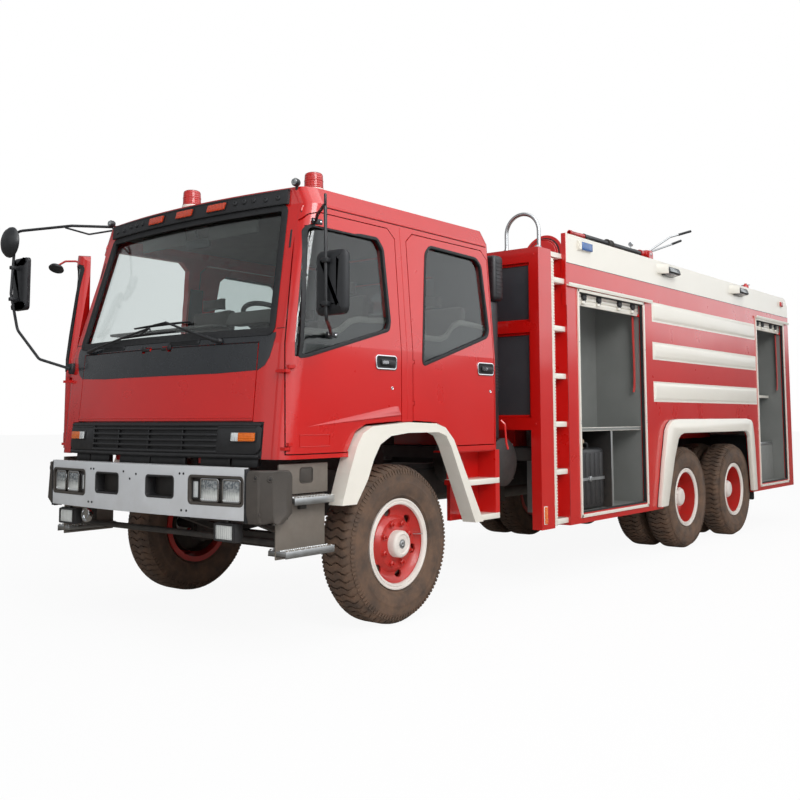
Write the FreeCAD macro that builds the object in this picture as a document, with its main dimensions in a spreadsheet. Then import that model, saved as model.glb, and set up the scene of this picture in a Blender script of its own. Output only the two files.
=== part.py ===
"""Water tanker fire truck: 6x4 crew-cab chassis with a tank body, in millimetres.

Frame: +Z up, the truck's front towards -Y, its left side towards +X.  The origin lies on
the ground below the middle of the front axle.
"""
import FreeCAD, Part
import math
import os
import re
import Sketcher

doc = FreeCAD.newDocument("WaterTanker")
sheet = doc.addObject("Spreadsheet::Sheet", "Dims")
Vector = FreeCAD.Vector

# ---------------------------------------------------------------- driving dimensions
DIMENSIONS = {
    # wheels and axles
    "wheelbase": 4650,          # front axle to first rear axle
    "bogieSpacing": 1370,       # first to second rear axle
    "tyreRadius": 520,
    "tyreWidth": 280,
    "beadRadius": 280,
    "beadHalf": 104,            # half the width between the rim's flanges
    "flangeLip": 18,
    "flangeThick": 14,
    "rimThick": 14,
    "frontWheelX": 1040,
    "rearWheelX": 1090,
    "dualSpacing": 332,
    "hubRadius": 120,
    "spindleRadius": 42,
    "kingpinX": 870,
    "kingpinRadius": 20,
    "bossRadius": 46,
    "bossHeight": 170,
    "lugThick": 38,
    "running": 0.1,             # clearance between a shaft and its bore
    # chassis
    "railOuter": 435,
    "railWidth": 80,
    "railHeight": 250,
    "railTop": 980,
    "frameFront": -1060,
    "crossThick": 70,
    "towX": 280,
    "towY": -1100,
    "towZ": 900,
    "towRadius": 18,
    # front bumper
    "bumperTop": 1068,
    "bumperLow": 762,
    "bumperNose": -1278,
    "bumperEndY": -1222,
    "bumperHalf": 1020,
    "bumperThick": 22,
    "bumperBack": -1196,
    "capOuter": 1195,
    "capRear": -1010,
    "stepRear": -662,
    "stepInner": 1040,
    "stepTread": 890,
    "lowStepTread": 590,
    # cab
    "cabHalf": 1190,
    "cabRoofHalf": 1122,
    "cabRear": 1155,
    "cabLow": 1110,
    "cabBelt": 1800,
    "roofEdge": 2690,
    "roofTop": 2802,
    "roofInset": 60,
    "noseLow": -1170,
    "noseBelt": -1108,
    "noseTop": -888,
    "noseSag": 84,
    "cornerRound": 112,
    "rearRound": 60,
    "wall": 55,
    "skin": 26,
    "glassOut": 20,
    "glassThick": 8,
    "gap": 7,
    "hingeInset": 16,           # front door's hinge axis in from the cab's widest
    "seamLowX": 1168,           # front door's forward seam at the foot, belt and roof
    "seamLowY": -1050,
    "seamBeltX": 1121,
    "seamBeltY": -1014,
    "seamTopX": 1000,
    "seamTopY": -803,
    "doorFrame": 55,
    "hingeLow": 1164,
    "hingeHigh": 1620,
    "rearHingeLow": 1440,
    "rearHingeHigh": 1720,
    "doorSwing": 152,           # reach of a front door's inner corner about its hinge
    "floorLow": 1262,
    "floorThick": 36,
    "doorLow": 1142,
    "doorTop": 2625,
    "frontDoorFront": -1035,
    "frontDoorRear": -18,
    "rearDoorFront": 112,
    "rearDoorRear": 1092,
    "archFront": -560,
    "archRear": 800,
    "archTop": 1322,
    "archBand": 70,
    "archProud": 52,
    "lidHalf": 920,
    "lidLow": 1338,
    "lidTop": 1806,
    "lidThick": 18,
    "lidPinRadius": 4,
    "bandLow": 2694,
    "bandHigh": 2790,
    "grilleHalf": 1010,
    "screenLow": 1866,
    "screenTop": 2682,
    "tiltPivotY": -1060,
    "tiltPivotZ": 1100,
    # tank body
    "bodyHalf": 1250,
    "bodyFront": 1670,
    "skirt": 456,
    "deckTop": 2740,
    "deckThick": 40,
    "bandTop": 2668,
    "parapetTop": 2920,
    "panel": 40,
    "columnRear": 1872,
    "recessRear": 2122,
    "recessDepth": 110,
    "sill": 540,
    "fenderProud": 50,
    "fenderFront": "=wheelbase - 830",
    "fenderRear": "=wheelbase + bogieSpacing + 542",
    "fenderTop": 1330,
    "fenderBand": 145,
    "lockerOneFront": 2330,
    "lockerOneRear": "=fenderFront - 220",
    "lockerOneTop": 2440,
    "lockerTwoFront": "=fenderRear + 260",
    "lockerTwoRear": "=lockerTwoFront + 1028",
    "lockerTwoTop": 2550,
    "bodyRear": "=lockerTwoRear + 230",
    "frameRear": "=bodyRear - 130",
    "lockerDepth": 510,
    "lining": 22,
    "shelfHeight": 1258,
    "tankHalf": 690,
    "tankLow": 1100,
    # roof equipment
    "manholeY": "=lockerOneRear - 70",
    "manholeRadius": 245,
    "manholeTop": 2812,
    "lidLean": 100,
    "monitorY": "=bodyRear - 1700",
    "monitorZ": 3436,
    "monitorTip": "=monitorY - 1950",
    "rightDoorOpen": 57,
    "steeringRadius": 225,
    "steeringX": 690,
    "steeringY": -690,
    "steeringZ": 1958,
}

for row, (alias, value) in enumerate(DIMENSIONS.items(), start=1):
    sheet.set(f"A{row}", alias)
    sheet.set(f"B{row}", str(value))
    sheet.setAlias(f"B{row}", alias)
doc.recompute()


# ---------------------------------------------------------------- helpers
def scoped(text):
    """Point every dimension's name in an expression at the sheet."""
    def replace(match):
        word = match.group(0)
        return f"Dims.{word}" if word in DIMENSIONS else word
    return re.sub(r"[A-Za-z_]\w*", replace, str(text))


def size(text):
    """The present value of an expression, in mm or degrees."""
    return float(sheet.evalExpression(scoped(text)))


def bind(thing, name, text):
    thing.setExpression(name, scoped(text))


def placeAt(thing, x, y, z):
    for axis, text in zip("xyz", (x, y, z)):
        bind(thing, f"Placement.Base.{axis}", text)


def block(label, x, y, z):
    """A box between two expressions along each axis."""
    thing = doc.addObject("Part::Box", label)
    for name, (low, high) in zip(("Length", "Width", "Height"), (x, y, z)):
        bind(thing, name, f"({high}) - ({low})")
    placeAt(thing, x[0], y[0], z[0])
    return thing


TURN = {
    "x": FreeCAD.Rotation(Vector(0, 1, 0), 90),
    "y": FreeCAD.Rotation(Vector(1, 0, 0), -90),
    "z": FreeCAD.Rotation(),
}


def rod(label, along, low, high, centre, radius):
    """A cylinder along one axis, from low to high, at a centre in the other two."""
    thing = doc.addObject("Part::Cylinder", label)
    bind(thing, "Radius", radius)
    bind(thing, "Height", f"({high}) - ({low})")
    thing.Placement = FreeCAD.Placement(Vector(), TURN[along])
    first, second = centre
    places = {"x": (low, first, second), "y": (first, low, second), "z": (first, second, low)}
    placeAt(thing, *places[along])
    return thing


PLANES = {"z": "XY_Plane", "y": "XZ_Plane", "x": "YZ_Plane"}


def originPlane(body, role):
    return [plane for plane in body.Origin.OriginFeatures if plane.Role == role][0]


def prism(label, along, points, low, high):
    """A body padded from a sketched outline: points are expressions in the plane's axes."""
    body = doc.addObject("PartDesign::Body", label)
    sketch = body.newObject("Sketcher::SketchObject", label + "Outline")
    sketch.AttachmentSupport = [(originPlane(body, PLANES[along]), "")]
    sketch.MapMode = "FlatFace"
    corners = [Vector(size(u), size(v), 0) for u, v in points]
    count = len(corners)
    for index in range(count):
        sketch.addGeometry(Part.LineSegment(corners[index], corners[(index + 1) % count]))
    for index in range(count):
        sketch.addConstraint(Sketcher.Constraint("Coincident", index, 2, (index + 1) % count, 1))
    for index, (u, v) in enumerate(points):
        for kind, text, value in (("DistanceX", u, corners[index].x), ("DistanceY", v, corners[index].y)):
            number = sketch.addConstraint(Sketcher.Constraint(kind, -1, 1, index, 1, value))
            bind(sketch, f"Constraints[{number}]", text)
    pad = body.newObject("PartDesign::Pad", label + "Pad")
    pad.Profile = sketch
    bind(pad, "Length", f"({high}) - ({low})")
    if along == "y":
        pad.Reversed = True
        bind(sketch, "AttachmentOffset.Base.z", f"-({low})")
    else:
        bind(sketch, "AttachmentOffset.Base.z", low)
    return body


def turned(label, outline, centre):
    """A body revolved about an axis along X: outline points are (x, radius) expressions."""
    body = doc.addObject("PartDesign::Body", label)
    sketch = body.newObject("Sketcher::SketchObject", label + "Outline")
    sketch.AttachmentSupport = [(originPlane(body, "XY_Plane"), "")]
    sketch.MapMode = "FlatFace"
    corners = [Vector(size(u), size(v), 0) for u, v in outline]
    count = len(corners)
    for index in range(count):
        sketch.addGeometry(Part.LineSegment(corners[index], corners[(index + 1) % count]))
    for index in range(count):
        sketch.addConstraint(Sketcher.Constraint("Coincident", index, 2, (index + 1) % count, 1))
    for index, (u, v) in enumerate(outline):
        for kind, text, value in (("DistanceX", u, corners[index].x), ("DistanceY", v, corners[index].y)):
            number = sketch.addConstraint(Sketcher.Constraint(kind, -1, 1, index, 1, value))
            bind(sketch, f"Constraints[{number}]", text)
    turn = body.newObject("PartDesign::Revolution", label + "Turn")
    turn.Profile = sketch
    turn.ReferenceAxis = (sketch, ["H_Axis"])
    turn.Angle = 360
    placeAt(body, *centre)
    return body


def fuse(label, things):
    whole = doc.addObject("Part::MultiFuse", label)
    whole.Shapes = things
    return whole


def group(label, things):
    """Members that touch and stay separate solids."""
    whole = doc.addObject("Part::Compound", label)
    whole.Links = things
    return whole


def cut(label, base, tools):
    piece = doc.addObject("Part::Cut", label)
    piece.Base = base
    piece.Tool = tools[0] if len(tools) == 1 else fuse(label + "Tools", tools)
    return piece


def common(label, base, tool):
    piece = doc.addObject("Part::Common", label)
    piece.Base = base
    piece.Tool = tool
    return piece


def mirrored(label, source):
    """The same piece on the truck's other side."""
    copy = doc.addObject("Part::Mirroring", label)
    copy.Source = source
    copy.Normal = Vector(1, 0, 0)
    return copy


def pair(label, source):
    return fuse(label, [source, mirrored(label + "Right", source)])


def bothSides(label, things):
    """Separate members of the left side and their mirror images."""
    left = group(label + "Left", things)
    return group(label, [left, mirrored(label + "Right", left)])


def shaped(label, shape):
    piece = doc.addObject("Part::Feature", label)
    piece.Shape = shape
    return piece


def bentTube(label, points, radius, bend):
    """A round bar along straight runs, with a tangent arc of the given radius at each bend."""
    stops = [Vector(*[size(text) for text in point]) for point in points]
    edges = []
    last = stops[0]
    for before, corner, after in zip(stops, stops[1:], stops[2:]):
        inward = (before - corner).normalize()
        outward = (after - corner).normalize()
        half = inward.getAngle(outward) / 2
        reach = size(bend) / math.tan(half)
        first = corner + inward * reach
        final = corner + outward * reach
        middle = corner + (inward + outward).normalize() * (size(bend) / math.sin(half) - size(bend))
        edges += [Part.LineSegment(last, first).toShape(), Part.Arc(first, middle, final).toShape()]
        last = final
    edges.append(Part.LineSegment(last, stops[-1]).toShape())
    path = Part.Wire(edges)
    ring = Part.Wire(Part.Circle(stops[0], stops[1] - stops[0], size(radius)).toShape())
    return shaped(label, path.makePipeShell([ring], True, True))


NODES = {}


def node(name, thing):
    """Name a finished sub-part."""
    thing.Label = name
    NODES[name] = thing
    return thing


# ---------------------------------------------------------------- wheels
def tyre(label, x, y):
    """One tyre, with rounded shoulders and sidewalls that narrow to the rim's beads."""
    half = "tyreWidth / 2"
    outline = [
        ("-beadHalf", "beadRadius"), ("beadHalf", "beadRadius"), ("beadHalf", "beadRadius + flangeLip + 1"),
        (f"{half} - 4", "beadRadius + 62"), (half, "beadRadius + 120"),
        (f"{half} - 8", "tyreRadius - 48"), (f"{half} - 30", "tyreRadius - 12"),
        (f"{half} - 62", "tyreRadius"), (f"62 - {half}", "tyreRadius"),
        (f"30 - {half}", "tyreRadius - 12"), (f"8 - {half}", "tyreRadius - 48"),
        (f"-{half}", "beadRadius + 120"), (f"4 - {half}", "beadRadius + 62"),
        ("-beadHalf", "beadRadius + flangeLip + 1"),
    ]
    return turned(label, outline, (x, y, "tyreRadius"))


def rimOutline(disc):
    """Half section of a rim barrel with flanges; disc is the x of the wheel disc."""
    edge = "beadHalf + flangeThick"
    return [
        (f"-({edge})", "beadRadius + flangeLip"), ("-beadHalf", "beadRadius + flangeLip"),
        ("-beadHalf", "beadRadius - running"), ("beadHalf", "beadRadius - running"),
        ("beadHalf", "beadRadius + flangeLip"), (edge, "beadRadius + flangeLip"),
        (edge, "beadRadius - rimThick - 8"), (f"{disc} + rimThick", "beadRadius - rimThick - 8"),
        (f"{disc} + rimThick - 30", "beadRadius - 90"), (f"{disc} + rimThick", "hubRadius + 45"),
        (f"{disc} + rimThick", "spindleRadius + running"), (disc, "spindleRadius + running"),
        (disc, "hubRadius + 38"), (f"{disc} - 30", "beadRadius - 96"),
        (f"{disc} - 4", "beadRadius - rimThick - 8"), (f"-({edge})", "beadRadius - rimThick - 8"),
    ]


def frontWheel(side):
    y = "0"
    rubber = tyre(f"FrontTyre{side}", "frontWheelX", y)
    disc = "beadHalf - 34"
    barrel = turned(f"FrontRim{side}", rimOutline(disc), ("frontWheelX", y, "tyreRadius"))
    hub = rod(f"FrontHub{side}", "x", f"frontWheelX + {disc} - 62", "frontWheelX + beadHalf + 44",
              (y, "tyreRadius"), "hubRadius - 24")
    bore = rod(f"FrontBore{side}", "x", "kingpinX", "frontWheelX + beadHalf + 6",
               (y, "tyreRadius"), "spindleRadius + running")
    rim = cut(f"FrontWheel{side}", fuse(f"FrontWheelSolid{side}", [barrel, hub]), [bore])
    if side == "Left":
        return rubber, rim
    return mirrored("FrontTyreMirror", rubber), mirrored("FrontWheelMirror", rim)


def rearWheels(tag, y, side):
    """A twin set: outer disc dished in, inner disc dished out, bolted back to back."""
    outer = tyre(f"OuterTyre{tag}", "rearWheelX", y)
    inner = tyre(f"InnerTyre{tag}", "rearWheelX - dualSpacing", y)
    rubber = fuse(f"Tyres{tag}", [outer, inner])
    disc = "beadHalf - dualSpacing / 2 - 40"
    rimOut = turned(f"OuterRim{tag}", rimOutline(disc), ("rearWheelX", y, "tyreRadius"))
    edge = "beadHalf + flangeThick"
    innerBarrel = [
        (f"-({edge})", "beadRadius + flangeLip"), ("-beadHalf", "beadRadius + flangeLip"),
        ("-beadHalf", "beadRadius - running"), ("beadHalf", "beadRadius - running"),
        ("beadHalf", "beadRadius + flangeLip"), (edge, "beadRadius + flangeLip"),
        (edge, "beadRadius - rimThick - 8"), (f"-({edge})", "beadRadius - rimThick - 8"),
    ]
    rimIn = turned(f"InnerRim{tag}", innerBarrel, ("rearWheelX - dualSpacing", y, "tyreRadius"))
    drum = rod(f"Drum{tag}", "x", "rearWheelX - dualSpacing - 60", f"rearWheelX + {disc}",
               (y, "tyreRadius"), "beadRadius - rimThick - 8")
    hollow = rod(f"DrumHollow{tag}", "x", "rearWheelX - dualSpacing - 60",
                 f"rearWheelX + {disc} - rimThick", (y, "tyreRadius"), "beadRadius - rimThick - 40")
    hub = rod(f"RearHub{tag}", "x", "rearWheelX - dualSpacing - 20", "rearWheelX + 70",
              (y, "tyreRadius"), "hubRadius - 10")
    bore = rod(f"RearBore{tag}", "x", "rearWheelX - dualSpacing - 40", "rearWheelX + 10",
               (y, "tyreRadius"), "spindleRadius + running")
    shell = cut(f"DrumShell{tag}", drum, [hollow])
    solid = fuse(f"RearRims{tag}", [rimOut, rimIn, shell, hub])
    rim = cut(f"RearWheel{tag}", solid, [bore])
    if side == "Left":
        return rubber, rim
    return mirrored(f"TyresMirror{tag}", rubber), mirrored(f"RimsMirror{tag}", rim)


def buildWheels():
    for side in ("Left", "Right"):
        rubber, rim = frontWheel(side)
        node(f"tyre_front_{side.lower()}", rubber)
        node(f"wheel_front_{side.lower()}", rim)
        for number, y in (("1", "wheelbase"), ("2", "wheelbase + bogieSpacing")):
            rubber, rim = rearWheels(side + number, y, side)
            node(f"tyres_rear_{number}_{side.lower()}", rubber)
            node(f"wheels_rear_{number}_{side.lower()}", rim)


# ---------------------------------------------------------------- axles
def knuckle(side):
    """Two lugs round the axle's boss, a web and a stub axle."""
    high = "tyreRadius + bossHeight / 2"
    low = "tyreRadius - bossHeight / 2"
    top = block(f"LugTop{side}", ("kingpinX - 40", "kingpinX + 88"), ("-46", "46"),
                (f"{high} + 1", f"{high} + lugThick"))
    bottom = block(f"LugLow{side}", ("kingpinX - 40", "kingpinX + 88"), ("-46", "46"),
                   (f"{low} - lugThick", f"{low} - 1"))
    web = block(f"Web{side}", ("kingpinX + 52", "kingpinX + 88"), ("-46", "46"),
                (f"{low} - lugThick", f"{high} + lugThick"))
    pin = rod(f"Kingpin{side}", "z", f"{low} - lugThick - 12", f"{high} + lugThick + 12",
              ("kingpinX", "0"), "kingpinRadius")
    stub = rod(f"Stub{side}", "x", "kingpinX + 70", "frontWheelX + beadHalf", ("0", "tyreRadius"),
               "spindleRadius")
    arm = block(f"SteerArm{side}", ("kingpinX - 20", "kingpinX + 20"), ("30", "200"),
                (f"{low} - lugThick", f"{low} - 8"))
    whole = fuse(f"Knuckle{side}", [top, bottom, web, pin, stub, arm])
    return whole if side == "Left" else mirrored("KnuckleMirror", whole)


def frontAxle():
    """A dropped beam with kingpin bosses, hung on two leaf springs."""
    low = "tyreRadius - bossHeight / 2"
    high = "tyreRadius + bossHeight / 2"
    beam = prism("AxleBeam", "y", [
        ("-kingpinX + 10", f"{low} + 20"), ("-620", f"{low} - 30"), ("620", f"{low} - 30"),
        ("kingpinX - 10", f"{low} + 20"), ("kingpinX - 10", f"{high} - 30"),
        ("620", f"{low} + 75"), ("-620", f"{low} + 75"), ("-kingpinX + 10", f"{high} - 30")],
        "-48", "48")
    boss = rod("AxleBoss", "z", low, high, ("kingpinX", "0"), "bossRadius")
    bore = rod("AxleBore", "z", f"{low} - 5", f"{high} + 5", ("kingpinX", "0"),
               "kingpinRadius + running")
    spring = prism("FrontSpring", "x", [
        ("-640", "railTop - railHeight - 60"), ("-300", "tyreRadius + 20"), ("0", f"{low} + 74"),
        ("300", "tyreRadius + 20"), ("640", "railTop - railHeight - 60"),
        ("640", "railTop - railHeight - 25"), ("300", "tyreRadius + 62"), ("0", "tyreRadius + 50"),
        ("-300", "tyreRadius + 62"), ("-640", "railTop - railHeight - 25")],
        "railOuter - railWidth", "railOuter - railWidth + 76")
    hangers = []
    for index, y in enumerate(("-640", "560")):
        hangers.append(block(f"SpringHanger{index}", ("railOuter - railWidth", "railOuter - railWidth + 76"),
                             (y, f"{y} + 80"), ("railTop - railHeight - 60", "railTop - railHeight")))
    left = fuse("AxleLeft", [boss, spring] + hangers)
    solid = fuse("AxleSolid", [beam, pair("AxleEnds", left)])
    return cut("FrontAxle", solid, [pair("AxleBores", bore)])


def rearAxles():
    """Two driven axles with their final drives, on leaf packs that pivot on a trunnion."""
    parts = []
    for tag, y in (("A", "wheelbase"), ("B", "wheelbase + bogieSpacing")):
        tube = rod(f"AxleTube{tag}", "x", "-(rearWheelX - dualSpacing - 160)",
                   "rearWheelX - dualSpacing - 160", (y, "tyreRadius"), "78")
        final = rod(f"FinalDrive{tag}", "x", "-110", "110", (y, "tyreRadius"), "205")
        nose = rod(f"DriveNose{tag}", "y", f"{y} - 330", y, ("0", "tyreRadius + 40"), "70")
        stub = rod(f"RearStub{tag}", "x", "-rearWheelX", "rearWheelX", (y, "tyreRadius"), "spindleRadius")
        parts += [tube, final, nose, stub]
    middle = "wheelbase + bogieSpacing / 2"
    leaf = prism("RearSpring", "x", [
        ("wheelbase - 60", "tyreRadius + 70"), ("wheelbase + 60", "tyreRadius + 70"),
        (f"{middle} - 150", "tyreRadius + 120"), (f"{middle} + 150", "tyreRadius + 120"),
        ("wheelbase + bogieSpacing - 60", "tyreRadius + 70"),
        ("wheelbase + bogieSpacing + 60", "tyreRadius + 70"),
        (f"{middle} + 150", "tyreRadius + 205"), (f"{middle} - 150", "tyreRadius + 205")],
        "railOuter - railWidth", "railOuter - railWidth + 90")
    seat = block("TrunnionSeat", ("railOuter - railWidth", "railOuter"),
                 (f"{middle} - 110", f"{middle} + 110"), ("tyreRadius + 190", "railTop - railHeight"))
    trunnion = rod("Trunnion", "x", "0", "railOuter", (middle, "tyreRadius + 160"), "45")
    left = fuse("BogieLeft", [leaf, seat, trunnion])
    return fuse("RearAxles", parts + [pair("Bogie", left)])


def buildAxles():
    node("knuckle_left", knuckle("Left"))
    node("knuckle_right", knuckle("Right"))
    node("front_axle", frontAxle())
    node("rear_axles", rearAxles())


# ---------------------------------------------------------------- chassis
def chassisFrame():
    """The two frame rails with the cab's pivot brackets."""
    inner = "railOuter - railWidth"
    web = block("RailWeb", ("railOuter - 9", "railOuter"), ("frameFront", "frameRear"),
                ("railTop - railHeight", "railTop"))
    upper = block("RailUpper", (inner, "railOuter"), ("frameFront", "frameRear"), ("railTop - 9", "railTop"))
    lower = block("RailLower", (inner, "railOuter"), ("frameFront", "frameRear"),
                  ("railTop - railHeight", "railTop - railHeight + 9"))
    bracket = prism("PivotBracket", "x", [
        ("tiltPivotY - 24", "railTop - 30"), ("frameFront + 260", "railTop - 30"),
        ("frameFront + 260", "railTop"), ("tiltPivotY + 24", "tiltPivotZ"),
        ("tiltPivotY - 24", "tiltPivotZ")], "railOuter - 60", "railOuter - 30")
    eye = rod("PivotEye", "x", "railOuter - 60", "railOuter - 30", ("tiltPivotY", "tiltPivotZ"), "30")
    pin = rod("PivotPin", "x", "railOuter - 60", "railOuter + 40", ("tiltPivotY", "tiltPivotZ"), "18")
    left = fuse("FrameLeft", [web, upper, lower, bracket, eye, pin])
    return pair("ChassisFrame", left)


def crossMembers():
    """Frame cross members, the front towing lugs and the rear underrun bar."""
    web = "railOuter - 9"
    cross = []
    for index, y in enumerate(("frameFront", "1750", "wheelbase - 700",
                               "wheelbase + bogieSpacing / 2 - 35", "wheelbase + bogieSpacing + 800",
                               "frameRear - crossThick")):
        cross.append(block(f"CrossMember{index}", (f"-({web})", web), (y, f"{y} + crossThick"),
                           ("railTop - railHeight + 40", "railTop - 30")))
    lug = block("TowLug", ("towX - 35", "towX + 35"), ("towY - 32", "frameFront"), ("towZ - 32", "towZ + 32"))
    eyeBore = rod("TowBore", "z", "towZ - 40", "towZ + 40", ("towX", "towY"), "towRadius")
    tow = cut("TowEye", lug, [eyeBore])
    arm = block("UnderrunArm", ("railOuter - 60", "railOuter"), ("frameRear - 40", "frameRear + 20"),
                ("skirt + 40", "railTop - railHeight"))
    bar = block("UnderrunBar", ("-bodyHalf + 130", "bodyHalf - 130"), ("frameRear + 14", "frameRear + 82"),
                ("skirt + 10", "skirt + 130"))
    underrun = fuse("Underrun", [pair("UnderrunArms", arm), bar])
    return group("CrossMembers", cross + [bothSides("TowEyes", [tow]), underrun])


def engineBlock():
    return block("Engine", ("-320", "320"), ("-560", "820"), ("640", "1230"))


def driveline():
    """Gearbox, power take-off case, propeller shafts and the exhaust silencer."""
    box = block("Gearbox", ("-190", "190"), ("820", "1640"), ("600", "960"))
    case = block("TransferCase", ("-210", "160"), ("2500", "2800"), ("560", "900"))
    front = rod("FrontShaft", "y", "1640", "2500", ("0", "690"), "55")
    rear = rod("RearShaft", "y", "2800", "wheelbase - 330", ("0", "tyreRadius + 110"), "60")
    inter = rod("InterAxleShaft", "y", "wheelbase + 205", "wheelbase + bogieSpacing - 330",
                ("0", "tyreRadius + 40"), "48")
    silencer = rod("Silencer", "y", "1400", "2150", ("-640", "740"), "150")
    pipe = rod("ExhaustPipe", "y", "2150", "3400", ("-640", "740"), "48")
    hanger = block("SilencerHanger", ("-560", "-railOuter"), ("1740", "1810"), ("760", "880"))
    return fuse("Driveline", [box, case, front, rear, inter, silencer, pipe, hanger])


def fuelTank():
    """A steel can tank in the front of the left lower locker, with a raised filler neck."""
    can = block("FuelCan", ("bodyHalf - lockerDepth + 30", "bodyHalf - 90"),
                ("lockerOneFront + 30", "lockerOneFront + 560"), ("sill", "sill + 540"))
    neck = rod("FuelNeck", "z", "sill + 540", "sill + 590", ("bodyHalf - 180", "lockerOneFront + 150"), "62")
    cap = rod("FuelCap", "z", "sill + 590", "sill + 625", ("bodyHalf - 180", "lockerOneFront + 150"), "74")
    return fuse("FuelTank", [can, neck, cap])


def airIntake():
    """Snorkel behind the cab's left rear corner, down to the air cleaner on the frame."""
    head = block("IntakeHead", ("905", "1095"), ("cabRear + 110", "cabRear + 250"), ("2270", "2640"))
    duct = block("IntakeDuct", ("950", "1050"), ("cabRear + 130", "cabRear + 230"), ("1180", "2270"))
    can = rod("AirCleaner", "x", "railOuter + 30", "1080", ("cabRear + 270", "1000"), "190")
    mount = block("IntakeMount", ("railOuter", "railOuter + 40"), ("cabRear + 180", "cabRear + 360"),
                  ("880", "960"))
    return fuse("AirIntake", [head, duct, can, mount])


def frontBumper():
    """Steel bumper, bowed in plan, with lamp and towing openings."""
    def bow(inset, low, high, label):
        nose, end = size("bumperNose") + inset, size("bumperEndY") + inset
        half = size("bumperHalf")
        back = size("bumperBack")
        arc = Part.Arc(Vector(-half, end, low), Vector(0, nose, low), Vector(half, end, low)).toShape()
        rest = Part.makePolygon([Vector(half, end, low), Vector(half, back, low),
                                 Vector(-half, back, low), Vector(-half, end, low)])
        face = Part.Face(Part.Wire([arc] + rest.Edges))
        return shaped(label, face.extrude(Vector(0, 0, high - low)))
    outer = bow(0, size("bumperLow"), size("bumperTop"), "BumperOuter")
    thick = size("bumperThick")
    inner = bow(thick, size("bumperLow") + thick, size("bumperTop") - thick, "BumperInner")
    openings = []
    for index, (near, far, low, high) in enumerate(((146, 416, 868, 1002), (548, 1002, 842, 1012))):
        opening = block(f"BumperOpening{index}", (near, far), ("bumperNose - 20", "bumperBack + 10"), (low, high))
        openings.append(pair(f"BumperOpenings{index}", opening))
    bracket = block("BumperBracket", ("railOuter - 90", "railOuter - 20"), ("bumperNose + 26", "frameFront"),
                    ("bumperLow + 28", "bumperLow + 98"))
    shell = cut("BumperShell", outer, [inner] + openings)
    return fuse("FrontBumper", [shell, pair("BumperBrackets", bracket)]), inner


def bumperEnds():
    """Moulded corner caps with the cab's two front steps behind them, on the frame."""
    cap = prism("EndCap", "z", [
        ("bumperHalf", "bumperEndY - 6"), ("bumperHalf + 80", "bumperEndY + 28"),
        ("capOuter - 30", "bumperEndY + 92"), ("capOuter", "bumperEndY + 160"), ("capOuter", "capRear"),
        ("capOuter - 40", "capRear"), ("capOuter - 40", "bumperEndY + 160"),
        ("bumperHalf + 50", "bumperEndY + 60"), ("bumperHalf", "bumperEndY + 34")],
        "bumperLow - 20", "bumperTop - 14")
    panel = block("StepPanel", ("capOuter - 90", "capOuter - 60"), ("capRear - 60", "stepRear"),
                  ("lowStepTread - 60", "cabLow - 26"))
    joinPanel = block("StepJoin", ("capOuter - 90", "capOuter - 30"), ("capRear - 40", "capRear - 5"),
                      ("bumperLow", "bumperTop - 20"))
    tread = block("StepTread", ("stepInner", "capOuter"), ("capRear + 8", "stepRear"),
                  ("stepTread - 40", "stepTread"))
    low = block("LowStep", ("stepInner", "capOuter"), ("capRear - 60", "stepRear"),
                ("lowStepTread - 40", "lowStepTread"))
    bar = block("StepBar", ("railOuter", "stepInner + 100"), ("-900", "-840"), ("railTop - 170", "railTop - 110"))
    hang = block("StepHang", ("stepInner", "stepInner + 70"), ("-900", "-840"),
                 ("lowStepTread - 20", "railTop - 110"))
    return pair("BumperEnds", fuse("BumperEndLeft", [cap, joinPanel, panel, tread, low, bar, hang]))


def lampSet(bumperInner):
    """Headlamps, fog lamps, side beacons, floodlights, corner markers and tail lamps."""
    bowl = block("HeadBowl", ("540", "1010"), ("bumperNose", "bumperBack + 36"), ("834", "1020"))
    parts = [common("HeadBowlFront", bowl, bumperInner)]
    parts.append(block("HeadBowlRear", ("540", "1010"), ("bumperBack", "bumperBack + 36"), ("834", "1020")))
    for index, (x, y) in enumerate(((652, 40), (822, 58))):
        parts.append(block(f"HeadLamp{index}", (x, x + 150), (f"bumperNose + {y}", "bumperBack"), ("866", "992")))
    parts.append(block("FogLamp", ("790", "930"), ("-1232", "-1150"), ("622", "716")))
    parts.append(block("FogStay", ("840", "880"), ("bumperNose + 40", "bumperNose + 70"), ("716", "bumperLow")))
    parts.append(block("Strobe", ("bodyHalf", "bodyHalf + 34"), ("2325", "2558"), ("2800", "2882")))
    for index, y in enumerate(("fenderFront + 220", "fenderRear - 512")):
        parts.append(prism(f"FloodLamp{index}", "y", [
            ("bodyHalf", "2775"), ("bodyHalf + 96", "2800"), ("bodyHalf + 76", "2868"), ("bodyHalf", "2890")],
            f"{y}", f"{y} + 310"))
    parts.append(block("RearSideLamp", ("bodyHalf", "bodyHalf + 26"), ("bodyRear - 340", "bodyRear - 240"), ("2790", "2860")))
    parts.append(block("FootMarker", ("bodyHalf", "bodyHalf + 14"), ("1700", "1745"), ("500", "640")))
    parts.append(block("TailLamp", ("bodyHalf - 250", "bodyHalf - 60"), ("bodyRear", "bodyRear + 40"),
                       ("620", "760")))
    return pair("Lamps", fuse("LampsLeft", parts))


def buildChassis():
    node("chassis_frame", chassisFrame())
    node("cross_members", crossMembers())
    node("engine_block", engineBlock())
    node("driveline", driveline())
    node("fuel_tank", fuelTank())
    node("air_intake", airIntake())
    bumper, bumperInner = frontBumper()
    node("front_bumper", bumper)
    node("bumper_ends", bumperEnds())
    node("lamps", lampSet(bumperInner))


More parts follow.
